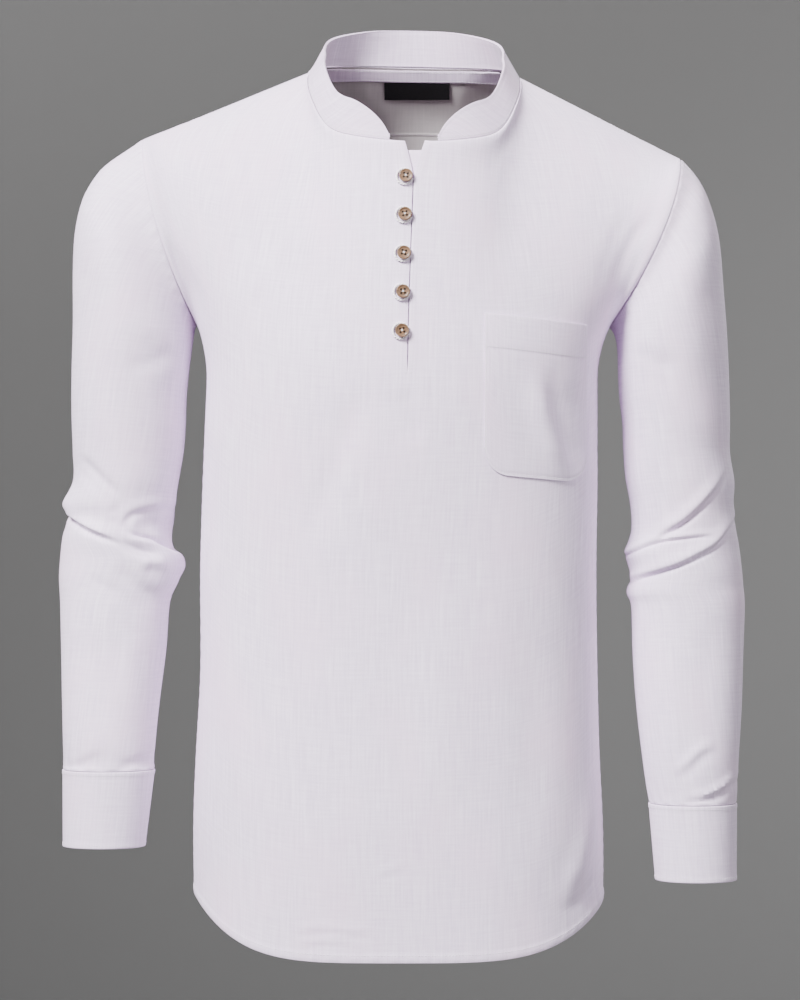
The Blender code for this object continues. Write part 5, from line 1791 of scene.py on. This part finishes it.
@dataclass
class Neck:
    """Stand collar with rounded ends, the facing strip inside it and the plain label."""

    form: GarmentForm
    room: Workroom
    sewing: Sewing
    # Darker cotton with painted shade, for the collar and the facing strip.
    cotton: Material
    satin: Material
    wall: float = 2.0
    height: float = 32
    corner: float = 44
    corner_squareness: float = 1.7
    end_right: float = 21
    end_left: float = 20
    lean_side: float = 0.66
    lean_front: float = 0.25
    lean_back: float = 0.04
    lean_corner: float = 0.3
    side_drop: float = 6
    least_height: float = 5
    seam_gap: float = 0.3
    samples: int = 721
    close: tuple[float, ...] = (0.0, 0.25, 0.8, 1.7, 2.8, 4.1, 5.6, 7.4, 9.4, 11.6, 14.0, 16.6, 19.4)
    even_start: float = 22.4
    step: float = 3.2
    edge_rows: Pair = (0.0, 0.03)
    middle_rows: Pair = (0.08, 0.92)
    rows: int = 15
    uneven_rise: float = 0.35
    uneven_length: float = 40.0
    uneven_reach: float = 8.0
    seed: int = 21
    fold: Pair = (4.0, 0.15)
    seam_sink: float = 0.35
    stitch_inset: float = 2.2
    tape_wall: float = 1.0
    tape_half_turn: float = math.radians(50)
    tape_columns: int = 70
    tape_rows: int = 8
    tape_drops: Pair = (11.6, 1.9)
    tape_inward: float = 30.0
    tape_lift: float = 1.9
    tape_stitch_inset: float = 1.6
    label_wall: float = 0.9
    label_lift: float = 1.5
    label_columns: int = 40
    label_rows: int = 12
    label_x: float = 11.5
    label_width: float = 58
    label_foot: float = -11.2
    label_top: float = 2.6

    def stations(self) -> list[tuple[float, Array]]:
        """Distance to the nearer end, and the place, of points along the collar seam."""
        turns = np.linspace(0.0, math.pi, self.samples)
        loop = np.array([self.form.neck(-1, turn) for turn in turns])
        loop = np.vstack((loop, np.array([self.form.neck(1, turn) for turn in turns[::-1][1:]])))
        travelled = distances(loop)
        length = travelled[-1] - self.end_left - self.end_right
        goals = [*self.close, *(length - place for place in self.close)]
        goals += list(np.linspace(self.even_start, length - self.even_start, round(length / self.step)))
        found = []
        for goal in sorted(goals):
            place = [np.interp(goal + self.end_right, travelled, loop[:, axis]) for axis in range(3)]
            found.append((min(goal, length - goal), np.array(place)))
        return found

    def column(self, to_end: float, base: Array) -> tuple[Array, float]:
        """Direction and height of the collar where it stands on its seam.

        Args:
            to_end: Distance along the seam to the nearer end.
            base: Point of the seam.

        Returns:
            The direction in which it stands, and its height.
        """
        out = np.array((
            (base[0] - self.form.neck_x) / self.form.neck_half,
            (base[1] - self.form.neck_y) / self.form.neck_reach,
            0.0,
        ))
        out = out / np.linalg.norm(out)
        end = self.lean_front if out[1] < 0 else self.lean_back
        back_corner = (2.0 * out[0] * max(0.0, out[1])) ** 2
        lean = self.lean_side + (end - self.lean_side) * abs(out[1]) + self.lean_corner * back_corner
        rise = np.array((0.0, 0.0, 1.0)) - out * lean
        missing = max(0.0, 1 - to_end / self.corner)
        height = self.height * (1 - missing**self.corner_squareness) ** (1 / self.corner_squareness)
        drop = self.side_drop * out[0] ** 2 * float(ease(1.0 + out[1]))
        height = max(height - drop, self.least_height)
        return rise / np.linalg.norm(rise), height

    def collar(self) -> ClothGrid:
        """Grid of the stand collar's outside."""
        shares = edged_rows(self.edge_rows, self.middle_rows, self.rows)
        columns = []
        for to_end, base in self.stations():
            rise, height = self.column(to_end, base)
            columns.append([base + rise * (self.seam_gap + height * share) for share in shares])
        return ClothGrid(np.array(columns)[::-1])

    def tape(self, skin: Skin) -> ClothGrid:
        """Grid of the facing strip under the collar seam, laid inside the yoke."""
        columns = []
        ends = (math.pi - self.tape_half_turn, math.pi + self.tape_half_turn)
        for turn in np.linspace(*ends, self.tape_columns):
            side = -1 if turn < math.pi else 1
            seam = self.form.neck(side, turn if side < 0 else 2 * math.pi - turn)
            inward = np.array((self.form.neck_x - seam[0], self.form.neck_y - seam[1], 0.0))
            inward = inward / np.linalg.norm(inward)
            column = []
            for drop in np.linspace(*self.tape_drops, self.tape_rows):
                start = seam + inward * self.tape_inward - np.array((0.0, 0.0, drop))
                column.append(skin.lay(start, tuple(-inward), self.tape_lift)[0])
            columns.append(column)
        return ClothGrid(np.array(columns))

    def label(self, skin: Skin) -> ClothGrid:
        """Grid of the plain label below the facing strip."""
        half = self.label_width / 2
        across = np.linspace(self.label_x - half, self.label_x + half, self.label_columns)
        up = np.linspace(self.label_foot, self.label_top, self.label_rows)
        starts = np.array([[(x, 0.0, z) for z in up] for x in across])
        return ClothGrid(skin.laid(starts, BACKWARDS, self.label_lift))

    def build(self, yoke_inside: Skin) -> None:
        """Make the collar, the strip and the label."""
        collar = self.collar()
        calm = collar.fade(self.uneven_reach, Edge.FOOT)
        collar = collar.uneven(self.uneven_rise, self.uneven_length, self.seed, calm)
        for edge in (Edge.TOP, *SIDES):
            collar = collar.turned_edge(edge, *self.fold)
        collar = collar.seamed(Edge.FOOT, self.seam_sink)
        self.room.shell(collar, "kurta_collar", self.wall, self.cotton, "collar", "folded")
        tape = self.tape(yoke_inside)
        self.room.shell(
            tape, "kurta_neck_tape", self.tape_wall, self.cotton, "neck_tape", "laid",
            rests_on=("kurta_yoke",),
        )
        self.room.shell(
            self.label(yoke_inside), "kurta_label", self.label_wall, self.satin, "label", "laid",
            Slot.LABEL, rests_on=("kurta_yoke",),
        )
        seam = [collar.line(Edge.FOOT, self.stitch_inset)]
        self.sewing.sew("kurta_collar_stitches", "kurta_collar", seam)
        rows = [tape.line(edge, self.tape_stitch_inset) for edge in (Edge.FOOT, Edge.TOP)]
        self.sewing.sew("kurta_neck_tape_stitches", "kurta_neck_tape", rows)


# Buttons and loops


@dataclass
class Fastening:
    """Buttons down the slit with their threads, and the loops of cord that hold them."""

    form: GarmentForm
    wood: Material
    hole_shade: Material
    thread: Material
    cord: Material
    tilts: tuple[float, ...] = (-6, 8, -13, 4, 10)
    cuff_tilt: float = 7.0
    top: float = -96
    pitch: float = 32.5
    from_slit: float = 6
    lift: float = 2.9
    radius: float = 5.75
    thickness: float = 2.2
    sides: int = 48
    rim: float = 1.25
    dish: float = 0.55
    level: float = 0.99
    disc_share: float = 0.1
    edge_width: float = 0.38
    edge_segments: int = 3
    edge_angle: float = math.radians(25)
    smooth_angle: float = math.radians(32)
    hole_sides: int = 16
    hole_radius: float = 0.98
    hole_middle: float = 0.6
    hole_offset: float = 1.55
    thread_short: float = 0.98
    thread_half: float = 0.16
    thread_rise: float = 0.16
    thread_height: float = 0.24
    thread_over: float = 0.05
    wraps: int = 5
    wrap_start: float = 0.3
    wrap_pitch: float = 0.52
    wrap_radius: float = 0.55
    wrap_growth: float = 0.06
    wrap_thickness: float = 0.28
    strand_radius: float = 0.62
    strand_offset: float = 0.52
    twist: float = 4.6
    loop_radius: float = 6.6
    loop_shift: Pair = (-1.2, -0.2)
    loop_opening: float = math.radians(17)
    loop_lift: float = 1.35
    loop_points: int = 88

    def select_disc(self, button: Piece) -> None:
        """Select the flat middle of a button's upper side."""
        reach = self.disc_share * self.radius * METRES
        shape = bmesh.from_edit_mesh(button.data)
        for face in shape.faces:
            face.select_set(face.normal.z > self.level and face.calc_center_median().xy.length < reach)
        shape.select_flush_mode()
        bmesh.update_edit_mesh(button.data)

    def button(self) -> Piece:
        """Turned button at the origin, with a raised rim and four holes with painted shade on their walls.
        """
        deselect()
        bpy.ops.mesh.primitive_cylinder_add(
            vertices=self.sides, radius=self.radius * METRES, depth=self.thickness * METRES,
        )
        made = bpy.context.object
        made.data.materials.append(self.wood)
        bpy.ops.object.mode_set(mode="EDIT")
        bpy.ops.mesh.select_mode(type="FACE")
        self.select_disc(made)
        bpy.ops.mesh.inset(thickness=self.rim * METRES)
        bpy.ops.mesh.inset(thickness=0.5 * self.dish * METRES)
        bpy.ops.transform.translate(value=(0.0, 0.0, -self.dish * METRES))
        bpy.ops.object.mode_set(mode="OBJECT")
        rounded = made.modifiers.new("rounded", "BEVEL")
        rounded.width = self.edge_width * METRES
        rounded.segments = self.edge_segments
        rounded.angle_limit = self.edge_angle
        cutters = []
        for across, up in ((1, 1), (-1, 1), (-1, -1), (1, -1)):
            deselect()
            place = Vector((across * self.hole_offset, up * self.hole_offset, self.hole_middle)) * METRES
            bpy.ops.mesh.primitive_cylinder_add(
                vertices=self.hole_sides, radius=self.hole_radius * METRES,
                depth=self.thickness * METRES, location=place,
            )
            cutters.append(bpy.context.object)
            # The holes' walls take the near-black wood: painted shade in the holes.
            cutters[-1].data.materials.append(self.hole_shade)
            hole = made.modifiers.new("hole", "BOOLEAN")
            hole.solver = "EXACT"
            hole.material_mode = "TRANSFER"
            hole.object = cutters[-1]
        apply_modifiers(made)
        for cutter in cutters:
            bpy.data.objects.remove(cutter)
        choose(made)
        bpy.ops.object.shade_smooth_by_angle(angle=self.smooth_angle)
        return made

    def threads(self) -> Piece:
        """Threads at the origin: a cross over the button's holes and the wraps under it."""
        reach = math.hypot(self.hole_offset, self.hole_offset) - self.thread_short
        height = self.thickness / 2 - self.dish + self.thread_rise
        parts = []
        deselect()
        for angle, thick in (
            (math.pi / 4, self.thread_height + self.thread_over), (-math.pi / 4, self.thread_height),
        ):
            for shift in (-self.thread_half, self.thread_half):
                place = Vector((-math.sin(angle) * shift, math.cos(angle) * shift, height)) * METRES
                bpy.ops.mesh.primitive_uv_sphere_add(
                    segments=8, ring_count=6, radius=METRES, location=place,
                    rotation=(0.0, 0.0, angle), scale=(reach, self.thread_half, thick),
                )
                bpy.ops.object.transform_apply(location=True, rotation=True, scale=True)
                parts.append(bpy.context.object)
        for number in range(self.wraps):
            low = -self.thickness / 2 - self.wrap_start - self.wrap_pitch * number
            bpy.ops.mesh.primitive_torus_add(
                major_segments=20, minor_segments=8, location=(0.0, 0.0, low * METRES),
                major_radius=(self.wrap_radius + self.wrap_growth * number) * METRES,
                minor_radius=self.wrap_thickness * METRES,
            )
            bpy.ops.object.transform_apply(location=True)
            parts.append(bpy.context.object)
        choose(parts[0])
        for part in parts:
            part.select_set(True)
        bpy.ops.object.join()
        parts[0].data.shade_smooth()
        return parts[0]

    def placed(self, shape: Piece, name: str, place: Array, facing: Array, tilt: float) -> Piece:
        """Copy of a shape with a mesh of its own, laid square to a facing.

        Args:
            shape: The shape at the origin.
            name: The copy's name.
            place: Where its middle goes.
            facing: Where its upper side looks.
            tilt: Turn about the facing, in degrees.

        Returns:
            The copy.
        """
        mesh = shape.data.copy()
        mesh.name = name
        turned = Vector(facing).to_track_quat("Z", "X").to_matrix().to_4x4()
        spun = Matrix.Rotation(math.radians(tilt), 4, "Z")
        mesh.transform(Matrix.Translation(Vector(place) * METRES) @ turned @ spun)
        return linked(name, mesh)

    def loop(self, skin: Skin, name: str, middle: Array) -> Piece:
        """Loop of twisted cord round a button, from the slit's other edge and back.

        Args:
            skin: The front that it lies on.
            name: The loop's name.
            middle: Point in front of the button's middle.

        Returns:
            The loop.
        """
        turns = np.linspace(self.loop_opening, 2 * math.pi - self.loop_opening, self.loop_points)
        middle = middle + np.array((self.loop_shift[0], 0.0, self.loop_shift[1]))
        strands: tuple[list, list] = ([], [])
        for turn in turns:
            out = np.array((math.cos(turn), 0.0, math.sin(turn)))
            place, facing = skin.lay(middle + out * self.loop_radius, BACKWARDS, self.loop_lift)
            wound = 2 * math.pi * turn * self.loop_radius / self.twist
            for strand, start in zip(strands, (0.0, math.pi)):
                shift = out * math.cos(wound + start) + facing * math.sin(wound + start)
                strand.append(place + self.strand_offset * shift)
        deselect()
        bpy.ops.curve.primitive_bezier_curve_add()
        made = bpy.context.object
        made.name = name
        made.data.splines.clear()
        made.data.bevel_depth = self.strand_radius * METRES
        made.data.bevel_resolution = 2
        made.data.use_fill_caps = True
        for strand in strands:
            line = made.data.splines.new("POLY")
            line.points.add(len(strand) - 1)
            for knot, point in zip(line.points, strand):
                knot.co = (*(point * METRES), 1.0)
        bpy.ops.object.convert(target="MESH")
        made = bpy.context.object
        made.data.shade_smooth()
        return made

    def fasten(
        self, button: Piece, threads: Piece, name: str, place: Array, facing: Array, tilt: float,
    ) -> None:
        """Place one button with its threads.

        Args:
            button: The button at the origin.
            threads: The threads at the origin.
            name: The button's node.
            place: Where its middle goes.
            facing: Where its upper side looks.
            tilt: Turn about the facing, in degrees.
        """
        dress(self.placed(button, f"kurta_{name}", place, facing, tilt), self.wood, Slot.WOOD, name)
        dress(self.placed(threads, f"kurta_{name}_thread", place, facing, tilt), self.thread, Slot.CORD)

    def build(self, skin: Skin, cuffs: dict[str, tuple[Array, Array]]) -> None:
        """Make the buttons, their threads and the loops.

        Args:
            skin: The front that the buttons of the slit lie on.
            cuffs: Place and facing of each cuff's button.
        """
        button = self.button()
        threads = self.threads()
        for number, tilt in enumerate(self.tilts):
            height = self.top - self.pitch * number
            middle = np.array((self.form.slit_x(height) - self.from_slit, -OUTSIDE, height))
            place, facing = skin.lay(middle, BACKWARDS, self.lift + self.thickness / 2)
            self.fasten(button, threads, f"button_{number + 1}", place, facing, tilt)
            name = f"loop_{number + 1}"
            dress(self.loop(skin, f"kurta_{name}", middle), self.cord, Slot.CORD, name)
        for side, (place, facing) in cuffs.items():
            self.fasten(button, threads, f"cuff_button_{side}", place, facing, self.cuff_tilt)
        for shape in (button, threads):
            bpy.data.objects.remove(shape)


# Studio


@dataclass(frozen=True)
class SoftLight:
    """Square soft light: its place, the side of its square, power in watts and spread in degrees."""

    name: str
    place: Triple
    size: float
    power: float
    spread: float
    goal: Triple = (0.0, 0.0, -0.37)


LIGHTS = (
    SoftLight("key", (-1.75, -2.25, 1.9), 1.2, 96.0, 75.0),
    SoftLight("fill", (2.5, -2.6, 0.6), 2.0, 17.0, 75.0),
    SoftLight("top", (0.0, 0.7, 2.4), 1.4, 5.0, 60.0),
    SoftLight("behind", (1.4, 2.6, 1.0), 1.6, 8.0, 60.0),
    SoftLight("wall", (0.0, 2.4, 2.7), 1.6, 10.0, 140.0, (0.0, 6.5, 0.4)),
)


@dataclass
class Studio:
    """Round plain studio with soft lights, and the camera at the photograph's place."""

    paint: Material
    floor: float = -3.4
    radius: float = 6.5
    hub: float = 0.001
    cove: float = 1.6
    cove_steps: int = 12
    round_steps: int = 96
    height: float = 6.0
    world_colour: tuple[float, ...] = (1.0, 0.965, 0.945, 1.0)
    world_strength: float = 0.18
    sensor: float = 24.0
    eye: Triple = (-0.0035, -3.2, -0.367)
    lens: float = 88.8

    def stage(self) -> None:
        """Floor that curves up into a round wall, seen from inside."""
        mesh = bpy.data.meshes.new("studio_stage")
        shape = bmesh.new()
        profile = [(self.hub, 0.0), (self.radius / 2, 0.0)]
        for turn in np.linspace(0.0, math.pi / 2, self.cove_steps + 1):
            reach = self.radius - self.cove + self.cove * math.sin(turn)
            profile.append((reach, self.cove * (1 - math.cos(turn))))
        profile.append((self.radius, self.height))
        points = [shape.verts.new((reach, 0.0, self.floor + rise)) for reach, rise in profile]
        edges = [shape.edges.new(pair) for pair in zip(points, points[1:])]
        bmesh.ops.spin(
            shape, geom=points + edges, cent=(0, 0, 0), axis=(0, 0, 1),
            angle=2 * math.pi, steps=self.round_steps, use_merge=True,
        )
        shape.to_mesh(mesh)
        shape.free()
        mesh.shade_smooth()
        made = linked("studio_stage", mesh)
        mesh.materials.append(self.paint)

    def hang(self, light: SoftLight) -> None:
        """Set up one light."""
        data = bpy.data.lights.new(light.name, "AREA")
        data.shape = "SQUARE"
        data.size = light.size
        data.energy = light.power
        data.spread = math.radians(light.spread)
        made = bpy.data.objects.new(light.name, data)
        made.location = light.place
        aim = Vector(light.goal) - Vector(light.place)
        made.rotation_euler = aim.to_track_quat("-Z", "Y").to_euler()
        bpy.context.scene.collection.objects.link(made)

    def camera(self) -> None:
        """Camera level with the middle of the garment."""
        data = bpy.data.cameras.new("camera")
        data.sensor_fit = "VERTICAL"
        data.sensor_height = self.sensor
        data.lens = self.lens
        made = bpy.data.objects.new("camera", data)
        made.location = self.eye
        made.rotation_euler = (math.radians(90), 0.0, 0.0)
        bpy.context.scene.collection.objects.link(made)
        bpy.context.scene.camera = made

    def world(self) -> None:
        """Even light from all round."""
        made = bpy.data.worlds.new("studio")
        made.use_nodes = True
        inputs = made.node_tree.nodes["Background"].inputs
        inputs["Color"].default_value = self.world_colour
        inputs["Strength"].default_value = self.world_strength
        bpy.context.scene.world = made

    def build(self) -> None:
        """Set up the stage, the lights and the camera."""
        self.stage()
        for light in LIGHTS:
            self.hang(light)
        self.world()
        self.camera()


def main() -> None:
    """Build the garment's looks and the studio."""
    logging.basicConfig(level=logging.INFO, format="%(message)s")
    form = GarmentForm()
    room = Workroom()
    cotton = CottonFinish().material("pale cotton")
    thread = ThreadFinish().material("sewing thread")
    sewing = Sewing(room, thread)
    # Darker copy of the cotton: painted shade on the inner side of the back and the yoke, seen through the
    # neck and under the hem.
    shadowed_cotton = CottonFinish(light=(0.46, 0.42, 0.425), shade=(0.40, 0.36, 0.37), blush=(0.43, 0.38, 0.395))
    body = BodyPanels(form, room, sewing, cotton, shadowed_cotton.material("lining cotton"))
    body.build()
    cuffs = {}
    for cut in (RIGHT_SLEEVE, LEFT_SLEEVE):
        sleeve = Sleeve(form, cut, room, sewing, cotton)
        sleeve.build()
        cuffs[cut.name] = sleeve.button_place
    # Darker copy of the cotton for the collar and the facing strip: painted shade, for the collar lying in
    # shadow.
    darkened_collar = CottonFinish(light=(0.78, 0.655, 0.83), shade=(0.61, 0.48, 0.665), blush=(0.755, 0.55, 0.74))
    yoke_inside = Skin(body.yoke_surface.moved(np.array(-body.wall)))
    shaded = darkened_collar.material("fused collar cotton")
    Neck(form, room, sewing, shaded, SatinFinish().material("black satin")).build(yoke_inside)
    cord = ThreadFinish(colour=(0.97, 0.91, 0.96), dark=(0.88, 0.80, 0.87)).material("loop cord")
    # Near-black wood for the walls of the button holes: painted shade.
    hole_shade = WoodFinish(pale=(0.03, 0.015, 0.009), dark=(0.012, 0.006, 0.004)).material("scorched wood")
    wood = WoodFinish().material("turned wood")
    Fastening(form, wood, hole_shade, thread, cord).build(body.front_skin, cuffs)
    Studio(StudioFinish().material("studio paint")).build()
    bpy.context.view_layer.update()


if __name__ == "__main__":
    main()
